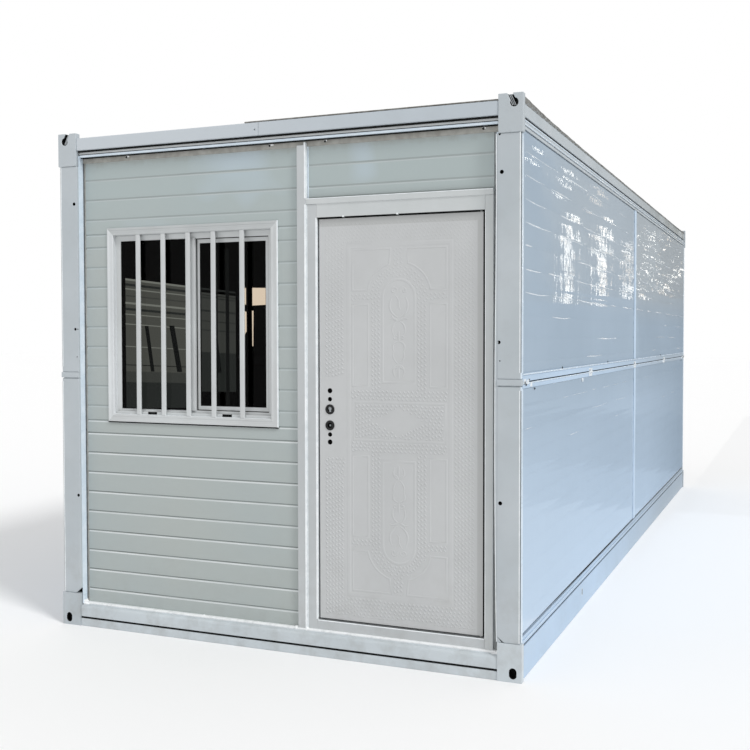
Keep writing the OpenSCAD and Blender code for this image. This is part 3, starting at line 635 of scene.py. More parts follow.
def corner_blocks(node):
    """Blocks with pockets painted near-black as shade; the right-hand ones at the foot are painted
    lighter, as light from the right.
    """
    bm = node_form(node)
    ease_edges(bm, 0.003)
    low, high = box_of(node)
    for face in bm.faces:
        spot = face.calc_center_median()
        deep = high.y - abs(spot.y)
        in_plan = POST_IN + 0.006 < abs(spot.x) < high.x - 0.002 and 0.003 < deep < POCKET_DEEP + 0.002
        if in_plan and low.z + 0.002 < spot.z < high.z - 0.002:
            face.material_index = 1
        elif spot.x > 0 and high.z < 1.0:
            face.material_index = 2
    finish_node(node, bm, FINISH["frame_paint"], HOLLOW_SHADE, LIGHTER_ENAMEL)


def block_fittings():
    """Slanted plates inside the hook slots of the lifting holes, white rims round the holes and tie
    slots that are painted highlights of their cut edges, and a screw low in each top block."""
    plates, screws, rims = bmesh.new(), bmesh.new(), bmesh.new()
    low, high = box_of("top_corner_blocks")
    hole_x, hole_z, tie_slot_z, lean = high.x - 0.040, high.z - 0.040, 0.038, math.radians(25)
    plate_size = Matrix.Diagonal((0.0035, 0.012, 0.050, 1))
    rim = [(hole_x + 0.0205 * math.cos(math.radians(d)), hole_z + 0.0205 * math.sin(math.radians(d)))
           for d in range(150, 406, 16)]
    for side in (-1, 1):
        for end in (-1, 1):
            # Three plates behind each slot, each further out and deeper than the last.
            for inwards, deep in ((0.017, 0.010), (0.0105, 0.013), (0.004, 0.016)):
                middle = Vector((side * (hole_x - inwards), end * (high.y - deep), hole_z + 0.010))
                turn = Matrix.Rotation(-side * lean, 4, "Y")
                bmesh.ops.create_cube(plates, size=1.0,
                                      matrix=Matrix.Translation(middle) @ turn @ plate_size)
            add_screw(screws, (side * (high.x - 0.032), end * (high.y - 0.0034), low.z + 0.022),
                      (0, end, 0), 0.0052)
            face = on_front(end * (high.y - 0.0028), end)
            add_bead(rims, [(side * u, v) for u, v in rim], 0.0035, 0.0008, face)
            slot = slot_outline(hole_x, tie_slot_z, 0.0185, 0.007, 8)
            add_bead(rims, [(side * u, v) for u, v in slot], 0.003, 0.0008, face, closed=True)
    make_piece("lifting_hole_plates", plates, "bare_steel")
    make_piece("hole_rims", rims, "frame_paint", WHITE_AND_HIGHLIGHT)
    make_piece("top_block_screws", screws, "bare_steel", BLACK_STEEL)


# Drilled holes in a post's end face: in from its inner edge, height, radius.
POST_HOLES = {
    "right": ((0.020, 2.172, 0.0088), (0.0085, 1.452, 0.0078), (0.013, 1.373, 0.003),
              (0.016, 0.765, 0.0088), (0.010, 2.331, 0.005)),
    "left": ((0.020, 2.145, 0.0085), (0.020, 1.513, 0.007), (0.0045, 1.513, 0.003),
             (0.011, 1.373, 0.003), (0.011, 0.668, 0.0078)),
}


def post(node, holes):
    """A post with its drilled holes and foot cut painted near-black as shade, and a bluish painted
    highlight on its outer nose.
    """
    low, high = box_of(node)
    side = 1 if high.x > 0 else -1
    end = 1 if high.y > 0 else -1
    cutters = bmesh.new()
    for inwards, height, radius in holes:
        add_plug(cutters, (side * (POST_IN + inwards), end * (-FRONT_Y + 0.005), height), (0, -end, 0),
                 radius, 0.020)
    bm = node_form(node)
    ease_edges(bm, 0.004)
    bm = cut(bm, cutters)
    for face in bm.faces:
        spot = face.calc_center_median()
        deep = -FRONT_Y - abs(spot.y)
        in_foot_cut = low.z + 0.0005 < spot.z < low.z + 0.030 and 0.001 < abs(spot.x) - POST_IN < 0.034
        if in_foot_cut and 0.003 < deep < POCKET_DEEP + 0.002:
            face.material_index = 1
        elif abs(spot.x) > POST_HIGH.x - 0.0015 and deep < NOSE_DEEP:
            face.material_index = 2
    finish_node(node, bm, FINISH["frame_paint"], HOLLOW_SHADE, BLUISH_HIGHLIGHT)


def base_ledges():
    """White sealant along the foot of each end wall, turned up into the corners by the posts, with
    thicker blobs where the gun stopped."""
    bm = bmesh.new()
    z, radius = BEAM_HIGH.z, 0.030
    for side in (-1, 1):
        hollow = arc((side * (POST_IN - radius), z + radius), radius, -90, 0 if side > 0 else -180, 8)
        add_prism(bm, [(side * POST_IN, z - 0.0005)] + hollow, 0.016, 0.047, behind_front)
    add_pair(bm, (0.01 - POST_IN, -WALL_Y - 0.001, z - 0.002),
             (POST_IN - 0.01, -FRONT_Y - 0.026, z + 0.010), 0.004, axis=1)
    # Blobs: where along the front, and their radius.
    for x, size in ((-0.395, 0.011), (0.118, 0.014), (0.172, 0.012), (0.62, 0.007), (-0.83, 0.007)):
        add_turned(bm, [(0, 0), (size, 0), (size * 0.8, size * 0.6), (size * 0.3, size * 0.9),
                        (0, size * 0.95)], (x, WALL_Y - 0.012, z + 0.003), (0, -0.6, 1), 14)
    make_piece("base_ledge_sealant", bm, "trim_paint", WHITE_SEALANT)


def foot_flap():
    """The bent flap left in the right post's foot, with the gap beside it."""
    bm = bmesh.new()
    outline = [(POST_IN - 0.001, FOOT_Z), (POST_IN + 0.022, FOOT_Z + 0.001),
               (POST_IN + 0.014, FOOT_Z + 0.012), (POST_IN + 0.001, FOOT_Z + 0.026),
               (POST_IN - 0.001, FOOT_Z + 0.026)]
    add_prism(bm, outline, 0.003, 0.010, behind_front)
    make_piece("foot_flap", bm, "frame_paint")


# ---- Base and roof frame ----

def groove_and_gap_shade():
    """Near-black strips that stand as painted shade in the long grooves between folded sections, and a
    painted shadow in the gap under the side panels."""
    groove_shade, tape = bmesh.new(), bmesh.new()
    add_pair(groove_shade, (BEAM_LOW.x, -FRONT_Y - GROOVE_BACK, BASE_GROOVE[0]),
             (BEAM_HIGH.x, -FRONT_Y - GROOVE_FRONT, BASE_GROOVE[1]), axis=1)
    for z in (BASE_RAIL_GROOVE, ROOF_RAIL_GROOVE):
        add_pair(groove_shade, (RAIL_HIGH.x - GROOVE_BACK, RAIL_LOW.y, z + 0.0003),
                 (RAIL_HIGH.x - GROOVE_FRONT, RAIL_HIGH.y, z + 0.0097))
    # The painted shadow in the gap under the panels is tallest a third of the way along and thins
    # towards the ends.
    top = RAIL_HIGH.z - 0.0003
    gaps = ((RAIL_LOW.y, 0.006), (-2.3, 0.010), (-1.6, 0.017), (-0.7, 0.015), (0.4, 0.010),
            (RAIL_HIGH.y, 0.008))
    outline = [(RAIL_HIGH.y, top), (RAIL_LOW.y, top)] + [(y, top - gap) for y, gap in gaps]
    for side in (-1, 1):
        add_prism(tape, outline, side * (RAIL_HIGH.x - 0.0247), side * (RAIL_HIGH.x - 0.010), across_house)
    make_piece("groove_shade_strips", groove_shade, "frame_paint", RUBBER_AND_SHADE)
    make_piece("panel_foot_shadow", tape, "frame_paint", RUBBER_AND_SHADE)


def add_strips(bm, out_x, along, rows):
    """Long strips on both sides. A row is how far in from out_x the strip starts and ends, its two
    heights and its ease."""
    for into, out, z1, z2, ease in rows:
        add_pair(bm, (out_x - into, along[0], z1), (out_x - out, along[1], z2), ease)


def rail_flashings():
    """Folded flashings over the long rails, under the panels at the base and under the roof rails,
    and the lips along both, coloured as a bluish painted highlight."""
    base, roof, lips = bmesh.new(), bmesh.new(), bmesh.new()
    along = (RAIL_LOW.y, RAIL_HIGH.y)
    roof_rail_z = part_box("roof_rail_right")[0][2]
    add_strips(base, RAIL_HIGH.x, along, [(0.0247, 0.006, 0.1652, RAIL_HIGH.z - 0.019, 0.0012)])
    add_strips(roof, RAIL_HIGH.x, along,
               [(0.0247, 0.004, roof_rail_z + 0.0085, ROOF_LIP[0] - 0.003, 0.0012)])
    add_strips(lips, RAIL_HIGH.x, along,
               [(0.006, 0.0006, ROOF_LIP[0] + 0.001, ROOF_LIP[0] + 0.007, 0.0012),
                (0.004, 0.0004, ROOF_LIP[1] - 0.006, ROOF_LIP[1] - 0.0005, 0.0012),
                (0.004, 0.0004, BASE_LIP_TOP - 0.005, BASE_LIP_TOP - 0.0005, 0.0012)])
    make_piece("base_rail_flashings", base, "frame_paint", FILM_AND_SKY_RAIL)
    make_piece("roof_rail_flashings", roof, "frame_paint")
    make_piece("rail_lips", lips, "frame_paint", BLUISH_HIGHLIGHT)


def rail_slots():
    """A small slot in each base rail, near-black inside as painted shade. The right one has a rim
    coloured as a painted highlight of its cut edge; the left one's lies unseen in the right rail."""
    dark, rim = bmesh.new(), bmesh.new()
    slot = slot_outline(RAIL_LOW.y + 1.20, 0.092, 0.009, 0.010, 6)
    for side in (1, -1):
        add_bead(rim, slot, 0.004, 0.0006, on_side(RAIL_HIGH.x, side), closed=True)
        add_prism(dark, slot, side * (RAIL_HIGH.x + 0.0002), side * (RAIL_HIGH.x - 0.003), across_house)
    make_piece("rail_slots", dark, "frame_paint", HOLLOW_SHADE)
    make_piece("rail_slot_rims", rim, "frame_paint", WHITE_AND_HIGHLIGHT)


def roof_closures():
    """Foam closures over the ends of the roof sheet's ribs, dark as a painted shade of the open rib
    ends and flecked with painted glints. They stand up to the corner blocks at the ends, and their
    top edge has crumbled into a ragged line."""
    bm = bmesh.new()
    low, high = box_of("roof_sheet")
    ragged = random.Random(7)
    steps = 120
    top = []
    for i in range(steps + 1):
        y = low.y + (high.y - low.y) * i / steps
        rise = 0.022 * math.exp(-(y - low.y) / 0.45) + 0.008 * math.exp(-(high.y - y) / 0.25)
        top.append((y, high.z - 0.0015 + rise + ragged.uniform(0.0, 0.0028)))
    outline = [(low.y, low.z + 0.0003)] + top + [(high.y, low.z + 0.0003)]
    for side in (-1, 1):
        add_prism(bm, outline, side * (high.x - 0.012), side * (high.x - 0.0005), across_house)
    add_box(bm, (-0.13, FRONT_Y + 0.001, BEAM_TOP + 0.0002),
            (BEAM_HIGH.x, FRONT_Y + 0.008, BEAM_TOP + 0.006), 0.001)
    make_piece("roof_closures", bm, "roof_paint", CLOSURE_SHADE_AND_GLINTS)


def roof_beam_splice():
    """The front roof beam, with a fine splice seam and a drilled hole beside it."""
    low, high = box_of("roof_beam_front")
    cutters = bmesh.new()
    seam_x, hole_x, hole_z = -0.055, -0.075, 2.440
    add_box(cutters, (seam_x - 0.0012, low.y - 0.01, low.z - 0.01),
            (seam_x + 0.0012, low.y + 0.002, high.z + 0.01))
    add_plug(cutters, (hole_x, low.y - 0.005, hole_z), (0, 1, 0), 0.0045, 0.02)
    dress("roof_beam_front", 0.004, CHALKED_ENAMEL, cutters=cutters)


def top_rails():
    """The trim along the top of each end wall: near-black strips under the roof beam and between the
    folds that stand as painted shade, a folded cap with a rolled lower lip in a bluish painted
    highlight, and a stained apron below it."""
    cap, lip, apron, tape = [bmesh.new() for i in range(4)]
    beam_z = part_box("roof_beam_front")[0][2]
    wall = -WALL_Y
    # Each strip: how far it stands out of the wall and starts behind it, its heights and its ease.
    for bm, out, back, z1, z2, ease in (
            (tape, 0.038, 0.045, beam_z - 0.008, beam_z - 0.0003, 0.0),
            (cap, 0.032, 0.0, beam_z - 0.0182, beam_z - 0.0082, 0.001),
            (tape, 0.028, 0.0, beam_z - 0.0207, beam_z - 0.018, 0.0),
            (lip, 0.033, 0.0, beam_z - 0.033, beam_z - 0.0207, 0.004),
            (tape, 0.022, 0.0, beam_z - 0.0360, beam_z - 0.0330, 0.0),
            (apron, 0.004, 0.050, TOP_RAIL_Z - 0.005, beam_z - 0.0358, 0.0008)):
        add_pair(bm, (-POST_IN, wall - back, z1), (POST_IN, wall + out, z2), ease, axis=1)
    make_piece("top_rail_caps", cap, "trim_paint", replaces=("end_wall_top_rails",))
    make_piece("top_rail_lips", lip, "trim_paint", BLUISH_HIGHLIGHT)
    make_piece("top_rail_aprons", apron, "trim_paint", STAINED_TRIM)
    make_piece("top_rail_shade_strips", tape, "trim_paint", RUBBER_AND_SHADE)


def mullion():
    """The upright between the wall and the doorway, with a thin flange that laps over the jamb."""
    dress("front_mullion", 0.002)
    bm = bmesh.new()
    low, high = box_of("front_mullion")
    add_box(bm, (high.x - 0.002, low.y, WALL_FOOT_Z),
            (high.x + MULLION_LAP - 0.001, WALL_Y, TOP_RAIL_Z + 0.012), 0.001)
    make_piece("mullion_flange", bm, "trim_paint")


def bowed_edge():
    """The right post's inner edge, which bows towards the door halfway up."""
    edge, line = bmesh.new(), bmesh.new()
    low, high = FOOT_Z + 0.003, POST_TOP - 0.016
    rows = [low + (high - low) * i / 24 for i in range(25)]
    bow = [(POST_IN - 0.010 * math.sin(math.pi * min(1.0, (z - low) / 1.9)) ** 0.8
            - 0.006 * max(0.0, (z - 1.75) / 0.6), z) for z in rows]
    outline = [(POST_IN + 0.004, low)] + bow + [(POST_IN + 0.004, high)]
    add_prism(edge, outline, 0.002, 0.010, behind_front)
    # The bead along the bowed edge is white, a painted highlight.
    add_bead(line, bow, 0.0032, 0.0012, on_front(FRONT_Y + 0.002))
    make_piece("right_post_bowed_edge", edge, "frame_paint")
    make_piece("right_post_edge_line", line, "frame_paint", WHITE_AND_HIGHLIGHT)


def edge_strips():
    """Near-white strips round the front wall's trims and down the posts' returns, most of them painted
    highlights of edges, bluish painted highlights beside them, and tapes.
    """
    white, tape, film, stained, sealant = [bmesh.new() for i in range(5)]
    mullion_low, mullion_high = box_of("front_mullion")
    jamb_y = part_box("door_jamb_left")[0][1]
    head_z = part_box("door_head")[1][2]
    door_x1, door_x2 = LEAF_LOW.x - 0.008, LEAF_HIGH.x + 0.010
    door_z1, door_z2 = LEAF_LOW.z - 0.006, LEAF_HIGH.z + 0.006
    trim_x = LEAF_HIGH.x + 0.048
    foot, top = WALL_FOOT_Z, TOP_RAIL_Z
    lap = mullion_high.x + MULLION_LAP
    # Each strip: where it starts and ends across, in depth and in height, and its ease.
    strips = [
        (white, lap - 0.008, lap, mullion_low.y - 0.002, jamb_y, foot, head_z - 0.027, 0.002),
        (white, lap - 0.008, lap, mullion_low.y - 0.002, WALL_Y, head_z, top + 0.012, 0.002),
        (white, lap, lap + 0.0035, jamb_y - 0.0015, jamb_y + 0.004, foot, head_z - 0.027, 0.001),
        (white, door_x1 - 0.007, door_x1 + 0.002, jamb_y - 0.001, jamb_y + 0.012, door_z1, door_z2, 0.002),
        (white, door_x2, door_x2 + 0.004, jamb_y - 0.0005, jamb_y + 0.012, door_z1, door_z2, 0.001),
        (white, door_x1, door_x2, jamb_y - 0.001, jamb_y + 0.012, door_z1 - 0.006, door_z1, 0.002),
        (white, lap - 0.006, trim_x, WALL_Y - 0.0150, WALL_Y, head_z - 0.004, head_z, 0.0015),
        (white, CASING_HIGH.x - 0.0045, CASING_HIGH.x + 0.001, CASING_LOW.y - 0.0006, WALL_Y,
         CASING_LOW.z, CASING_HIGH.z, 0.0015),
        (white, POST_IN - 0.0018, POST_IN, FRONT_Y + 0.016, FRONT_Y + 0.045, foot, top + 0.030, 0.0008),
        (film, -POST_IN, 0.0018 - POST_IN, FRONT_Y + 0.010, FRONT_Y + 0.043, foot, top + 0.030, 0.0008),
        (film, trim_x + 0.009, POST_IN - 0.004, WALL_Y + 0.001, WALL_Y + 0.0125, head_z + 0.004,
         top - 0.004, 0.002),
        (film, lap, lap + 0.007, WALL_Y - 0.001, WALL_Y + 0.010, head_z, top, 0.002),
        (tape, -POST_IN, 0.0012 - POST_IN, FRONT_Y + 0.043, FRONT_Y + 0.049, foot, top + 0.020, 0.002),
        (tape, -POST_IN, 0.011 - POST_IN, WALL_Y + 0.0005, WALL_Y + 0.0125, foot, top, 0.0),
        (stained, 0.005 - POST_IN, 0.0125 - POST_IN, WALL_Y - 0.0005, WALL_Y + 0.003, foot, top, 0.0005),
        (sealant, trim_x + 0.001, POST_IN, WALL_Y + 0.002, WALL_Y + 0.0125, foot, top, 0.0),
    ]
    # Two white notches over the leaf.
    strips += [(white, x - 0.005, x + 0.005, jamb_y - 0.0012, jamb_y + 0.010, LEAF_HIGH.z + 0.0035,
                LEAF_HIGH.z + 0.011, 0.001) for x in (0.363, 0.630)]
    for bm, x1, x2, y1, y2, z1, z2, ease in strips:
        add_box(bm, (x1, y1, z1), (x2, y2, z2), ease)
    # Down the front posts' outer edge, below and above the fold band: a white line that is a painted
    # highlight, tape beside it and a bluish painted highlight in the return behind them.
    line_x, tape_x, out_x = 1.2045, 1.2092, 1.2124
    for z1, z2 in ((FOOT_Z, FOLD_BAND_Z[0]), (FOLD_BAND_Z[1], POST_TOP)):
        add_pair(white, (line_x, FRONT_Y - 0.0008, z1 + 0.004), (tape_x, FRONT_Y + 0.004, z2 - 0.006),
                 0.001)
        add_pair(tape, (tape_x, FRONT_Y + 0.0004, z1 + 0.004), (out_x, FRONT_Y + 0.008, z2 - 0.006),
                 0.002)
        add_pair(film, (out_x - 0.0029, FRONT_Y + 0.0285, z1), (out_x, FRONT_Y + 0.0360, z2), 0.002)
    make_piece("white_edges_and_highlights", white, "trim_paint", WHITE_AND_HIGHLIGHT)
    make_piece("gap_tapes", tape, "trim_paint", FOAM_TAPE)
    make_piece("right_gap_sealant", sealant, "trim_paint", GREY_SEALANT)
    make_piece("bluish_edge_highlights", film, "trim_paint", BLUISH_HIGHLIGHT)
    make_piece("left_edge_trim", stained, "trim_paint", STAINED_TRIM)


# ---- Fasteners ----

def front_fasteners():
    """Screws along the top rail in smears of white sealant, and rivets down the wall's edge."""
    screws, smears = bmesh.new(), bmesh.new()
    z = TOP_RAIL_Z + 0.012
    for x, reach in ((-0.835, 0.016), (-0.02, 0.022), (0.27, 0.010), (1.03, 0.012)):
        path = [(x - 0.006, z + 0.003), (x + reach * 0.5, z + 0.005), (x + reach, z + 0.002)]
        add_bead(smears, path, [0.006, 0.012, 0.004], 0.0016, on_front(WALL_Y - 0.004))
        add_screw(screws, (x, WALL_Y - 0.0052, z), (0, -1, 0), 0.0055)
    for rivet_z in (2.19, 1.895, 1.515, 1.17, 0.935, 0.60, 0.22):
        add_screw(screws, (-POST_IN + 0.0055, WALL_Y + 0.012, rivet_z), (0, -1, 0), 0.0045)
    make_piece("front_screws", screws, "bare_steel", BLACK_STEEL)
    make_piece("front_screw_caps", smears, "trim_paint", WHITE_SEALANT)


def roof_screws():
    """Self-drilling screws with washers, on every third rib of the roof sheet."""
    bm = bmesh.new()
    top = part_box("roof_sheet")[1][2]
    rib_pitch = 0.076
    for i in range(-12, 13):
        for x in (-0.9, -0.3, 0.3, 0.9):
            add_screw(bm, (x, i * 3 * rib_pitch, top), (0, 0, 1), 0.005, washer=0.009)
    make_piece("roof_screws", bm, "bare_steel")


# ---- Window ----

def frame_bead(bm, low, high, profile, place):
    """A mitred frame: profile points are metres inwards from the outer edge and metres out."""
    path = [(low[0], low[1]), (low[0], high[1]), (high[0], high[1]), (high[0], low[1])]
    turned = [(-across, up) for across, up in profile]
    add_bead(bm, path, 2.0, 1.0, place, closed=True, profile=turned)


def window_casing():
    """The mitred casing and its lining, and the fixed frame with its splayed bands and stile."""
    bm, rubber = bmesh.new(), bmesh.new()
    low, high = CASING_LOW, CASING_HIGH
    proud, lap, depth = WALL_Y - low.y, 0.015, high.y - WALL_Y
    trim = [(0.0, 0.0), (0.0, proud - 0.0025), (0.0025, proud), (0.011, proud), (0.0125, proud - 0.0016),
            (0.027, proud - 0.0016), (0.0285, proud), (0.0355, proud), (0.038, proud - 0.0025),
            (0.038, -depth), (lap + 0.0003, -depth), (lap + 0.0003, 0.0)]
    frame_bead(bm, (low.x, low.z), (high.x, high.z), trim, on_front(WALL_Y))
    # The fixed frame's band slopes back from the lining towards the panes.
    band = [(0.0, 0.0), (0.0, SASH_T), (0.003, SASH_T), (0.006, SASH_T - 0.001),
            (0.0255, SASH_T - 0.0075), (0.028, SASH_T - 0.009), (0.028, 0.0)]
    frame_bead(bm, (LIGHT_X, LIGHT_Z), (LIGHT_X2, LIGHT_Z2), band, on_front(FIXED_Y + SASH_T))
    stile_x, stile_x2 = LIGHT_MIDDLE - STILE_W / 2, LIGHT_MIDDLE + STILE_W / 2
    add_box(bm, (stile_x, FIXED_Y, LIGHT_Z + BAND_W - 0.002),
            (stile_x2, FIXED_Y + SASH_T, LIGHT_Z2 - BAND_W + 0.002), 0.003)
    seal = [(0.0, 0.0), (0.0, 0.0035), (0.0035, 0.0025), (0.0035, 0.0)]
    for x1, x2, deep in ((LIGHT_X + BAND_W, stile_x, 0.0055), (stile_x2, LIGHT_X2 - BAND_W, 0.013)):
        frame_bead(rubber, (x1, LIGHT_Z + BAND_W), (x2, LIGHT_Z2 - BAND_W), seal,
                   on_front(FIXED_Y + deep + 0.0035))
    # The head is painted darker as shade, and the left side painted lighter as light from the right.
    for face in bm.faces:
        spot = face.calc_center_median()
        if spot.z > high.z - 0.04 and low.x + 0.05 < spot.x < high.x - 0.05:
            face.material_index = 1
        elif spot.x < low.x + 0.04:
            face.material_index = 2
    make_piece("window_casing", bm, "window_alloy", FINISH["window_alloy"], SHADED_HEAD, LIT_LEFT,
               replaces=("window_frame",))
    make_piece("window_pane_seals", rubber, "window_alloy", RUBBER_AND_SHADE)


def window_sash():
    """The sliding sash behind the right-hand opening, with a bevelled glazing edge."""
    bm, rubber = bmesh.new(), bmesh.new()
    low, high = box_of("window_sash")
    profile = [(0.0, 0.0), (0.0, SASH_T), (0.038, SASH_T), (0.0455, SASH_T - 0.004),
               (SASH_W, SASH_T - 0.0045), (SASH_W, 0.0)]
    seal = [(SASH_W - 0.0002, 0.0), (SASH_W - 0.0002, SASH_T - 0.0055),
            (SASH_W + 0.0028, SASH_T - 0.007), (SASH_W + 0.0028, SASH_T - 0.011)]
    for made, outline in ((bm, profile), (rubber, seal)):
        frame_bead(made, (low.x, low.z), (high.x, high.z), outline, on_front(high.y))
    make_piece("window_sash_frame", bm, "window_alloy", replaces=("window_sash",))
    make_piece("window_sash_seal", rubber, "window_alloy", RUBBER_AND_SHADE)


def rounded_bar(x, width, front, back, corner):
    """Plan of an upright bar with rounded corners."""
    out, in_front, behind = width / 2 - corner, front + corner, back - corner
    outline = []
    for cx, cy, begin in ((x + out, in_front, -90), (x + out, behind, 0), (x - out, behind, 90),
                          (x - out, in_front, 180)):
        outline += arc((cx, cy), corner, begin, begin + 90, 4)
    return outline


def window_bars():
    """Five burglar bars of flattened tube, welded in the casing's reveal in front of the panes.
    Their right-hand rounding is coloured as a bluish painted highlight."""
    bm = bmesh.new()
    for x in BAR_X:
        outline = rounded_bar(x, BAR_W, WALL_Y - 0.0075, WALL_Y + 0.005, 0.0055)
        add_prism(bm, outline, LIGHT_Z, LIGHT_Z2, lambda u, v, w: Vector((u, v, w)))
    for face in bm.faces:
        if face.normal.x > 0.3 and face.normal.y < 0.1:
            face.material_index = 1
    make_piece("window_bars", bm, "window_alloy", FINISH["window_alloy"], BLUISH_HIGHLIGHT)


def window_track():
    """The sill, coloured as a painted highlight, with the lip along it and its two drain slots, and
    the gap under the casing, both near-black as painted shade.
    """
    lip, dark, sill = bmesh.new(), bmesh.new(), bmesh.new()
    add_box(lip, (LIGHT_X, WALL_Y + 0.0058, LIGHT_Z), (LIGHT_X2, WALL_Y + 0.0085, LIGHT_Z + 0.0155), 0.0008)
    add_box(dark, (CASING_LOW.x, WALL_Y - 0.007, CASING_LOW.z - 0.005),
            (CASING_HIGH.x, WALL_Y, CASING_LOW.z - 0.0002))
    add_box(sill, (LIGHT_X, WALL_Y - 0.0055, LIGHT_Z + 0.0002),
            (LIGHT_X2, WALL_Y + 0.0056, LIGHT_Z + 0.0022), 0.0006)
    for x in (-0.699, -0.267):
        add_box(dark, (x - 0.026, WALL_Y + 0.0044, LIGHT_Z + 0.0025),
                (x + 0.026, WALL_Y + 0.0060, LIGHT_Z + 0.0150), 0.0004)
    make_piece("window_track", lip, "window_alloy")
    make_piece("window_drain_slots", dark, "window_alloy", HOLLOW_SHADE)
    make_piece("window_sill", sill, "window_alloy", WHITE_AND_HIGHLIGHT)


# ---- Door ----

LEAF_MIDDLE = (LEAF_LOW + LEAF_HIGH) / 2
LEAF_HALF_W = (LEAF_HIGH.x - LEAF_LOW.x) / 2
LEAF_HALF_H = (LEAF_HIGH.z - LEAF_LOW.z) / 2
# The pressed pattern, in metres from the leaf's middle; it is the same above and below, left and right.
BORDER_IN, BORDER_OUT = 0.264, 0.368
BORDER_IN_V, BORDER_OUT_V = 0.814, 0.900
FRAME_U, FRAME_V = 0.248, 0.798
BAND_V = (0.095, 0.141)
LEG_U = (0.089, 0.133)
ARCH_V, ARCH_HATCH_R = 0.562, 0.140
ARM_V = (0.543, 0.580)
STEM_U = 0.024
BOX_U, BOX_V = 0.213, 0.078
DIAMOND_U, DIAMOND_V = 0.13, 0.062
FRAME_MARGIN = 0.014
PLAIN_U, PLAIN_V = 0.262, (-0.17, 0.20)
HATCH_PITCH = 0.0143
# The lock: how far in from the leaf's edge its holes lie, then each hole's height and radius.
LOCK_IN = 0.054
LOCK_HOLES = ((1.227, 0.0120), (1.188, 0.0105), (1.141, 0.020), (1.067, 0.020), (1.025, 0.0105),
              (0.990, 0.0120))


def in_hatch(u, v, lock_side):
    """Whether a point of the leaf lies in a hatched field. The skin is plain round the lock."""
    if u * lock_side > PLAIN_U and PLAIN_V[0] < v < PLAIN_V[1]:
        return False
    u, v = abs(u), abs(v)
    if u < BORDER_OUT and v < BORDER_OUT_V and (u > BORDER_IN or v > BORDER_IN_V):
        return True
    if v < BOX_V and u < BOX_U:
        return u / DIAMOND_U + v / DIAMOND_V > 1.0
    if u > FRAME_U - FRAME_MARGIN or v > FRAME_V - FRAME_MARGIN:
        return False
    radius = math.hypot(u, v - ARCH_V)
    return (BAND_V[0] < v < BAND_V[1] or LEG_U[0] < u < LEG_U[1] and BAND_V[1] <= v < ARCH_V
            or v >= ARCH_V and LEG_U[0] < radius < ARCH_HATCH_R or ARM_V[0] < v < ARM_V[1] and u > LEG_U[1]
            or u < STEM_U and v > ARCH_V + 0.13)


def hatch_ribs(bm, place, slope, width, height, lock_side):
    """Slanting rows of short dashes over the hatched fields. They are pressed shallower, and wear
    away, towards the top of the leaf."""
    step = 0.004
    count = int((LEAF_HALF_W + LEAF_HALF_H) / (HATCH_PITCH * math.sqrt(2)))
    for line in range(-count, count + 1):
        start_v = line * HATCH_PITCH * math.sqrt(2)
        run = []
        for i in range(int(2 * BORDER_OUT / step) + 2):
            u = -BORDER_OUT + i * step
            v = start_v - slope * u
            if in_hatch(u, v, lock_side):
                run.append((u, v))
                continue
            # A dash is three steps of the run, and the gap after it is one.
            while len(run) > 1:
                dash, run = run[:3], run[4:]
                worn = max(0.25, min(1.0, 1.0 - 1.2 * (dash[0][1] - 0.25)))
                add_bead(bm, [dash[0], dash[-1]], width * 0.8, height * worn, place, profile=SHARP_BEAD)
            run = []


def mouldings(bm, place):
    """The raised beads that outline the panels."""
    def loop(points, width=0.012):
        add_bead(bm, points, width, 0.0011, place, closed=True, profile=FLAT_BEAD)

    def rect(half_u, half_v, width):
        loop([(-half_u, -half_v), (-half_u, half_v), (half_u, half_v), (half_u, -half_v)], width)

    rect(FRAME_U, FRAME_V, 0.022)
    rect(BOX_U + 0.008, BOX_V + 0.008, 0.012)
    arch = [(-0.078, 0.178), (0.078, 0.178)] + arc((0, ARCH_V), 0.078, 0, 180, 20)
    low_panel = [(0.150, 0.160), (0.228, 0.160), (0.228, 0.528), (0.150, 0.528)]
    corner_panel = ([(0.228, ARM_V[1] + 0.014), (0.228, FRAME_V - 0.020), (0.040, FRAME_V - 0.020)]
                    + arc((0, ARCH_V), 0.156, 73, 12, 14) + [(0.153, ARM_V[1] + 0.014)])
    for up in (-1, 1):
        loop([(u, v * up) for u, v in arch])
        for side in (-1, 1):
            for panel in (low_panel, corner_panel):
                loop([(u * side, v * up) for u, v in panel], 0.009)


def scroll(turns, size, steps=26):
    """Points of a spiral that unwinds from its eye at the origin to size away."""
    return [(size * (i / steps) ** 1.3 * math.cos(2 * math.pi * turns * i / steps),
             size * (i / steps) ** 1.3 * math.sin(2 * math.pi * turns * i / steps))
            for i in range(1, steps + 1)]


def bow(u1, v1, u2, v2, bend, steps=8):
    """Points of a curve that bends away from the straight line between its ends."""
    return [(u1 + (u2 - u1) * t + bend * (v1 - v2) * 4 * t * (1 - t),
             v1 + (v2 - v1) * t + bend * (u2 - u1) * 4 * t * (1 - t))
            for t in [i / steps for i in range(steps + 1)]]


# The strokes of one quarter of the ornament: the ends and bend of a bow, and its widest width.
BOWS = ((0.006, 0.470, 0.033, 0.560, -0.25, 0.010), (0.008, 0.505, 0.018, 0.570, 0.20, 0.007),
        (0.004, 0.455, 0.044, 0.462, 0.16, 0.007), (0.004, 0.455, 0.034, 0.482, -0.16, 0.007),
        (0.002, 0.455, 0.027, 0.392, 0.22, 0.009), (0.004, 0.362, 0.024, 0.318, 0.30, 0.009),
        (0.024, 0.318, 0.003, 0.262, 0.18, 0.007), (0.002, 0.262, 0.030, 0.240, -0.24, 0.008),
        (0.002, 0.258, 0.019, 0.205, 0.28, 0.009))
# Its scrolls: turns, size, where the eye lies, how far it is turned, and the widest width.
SCROLLS = ((1.35, 0.019, 0.024, 0.590, 1.2, 0.007), (1.1, 0.013, 0.017, 0.378, 2.0, 0.006))


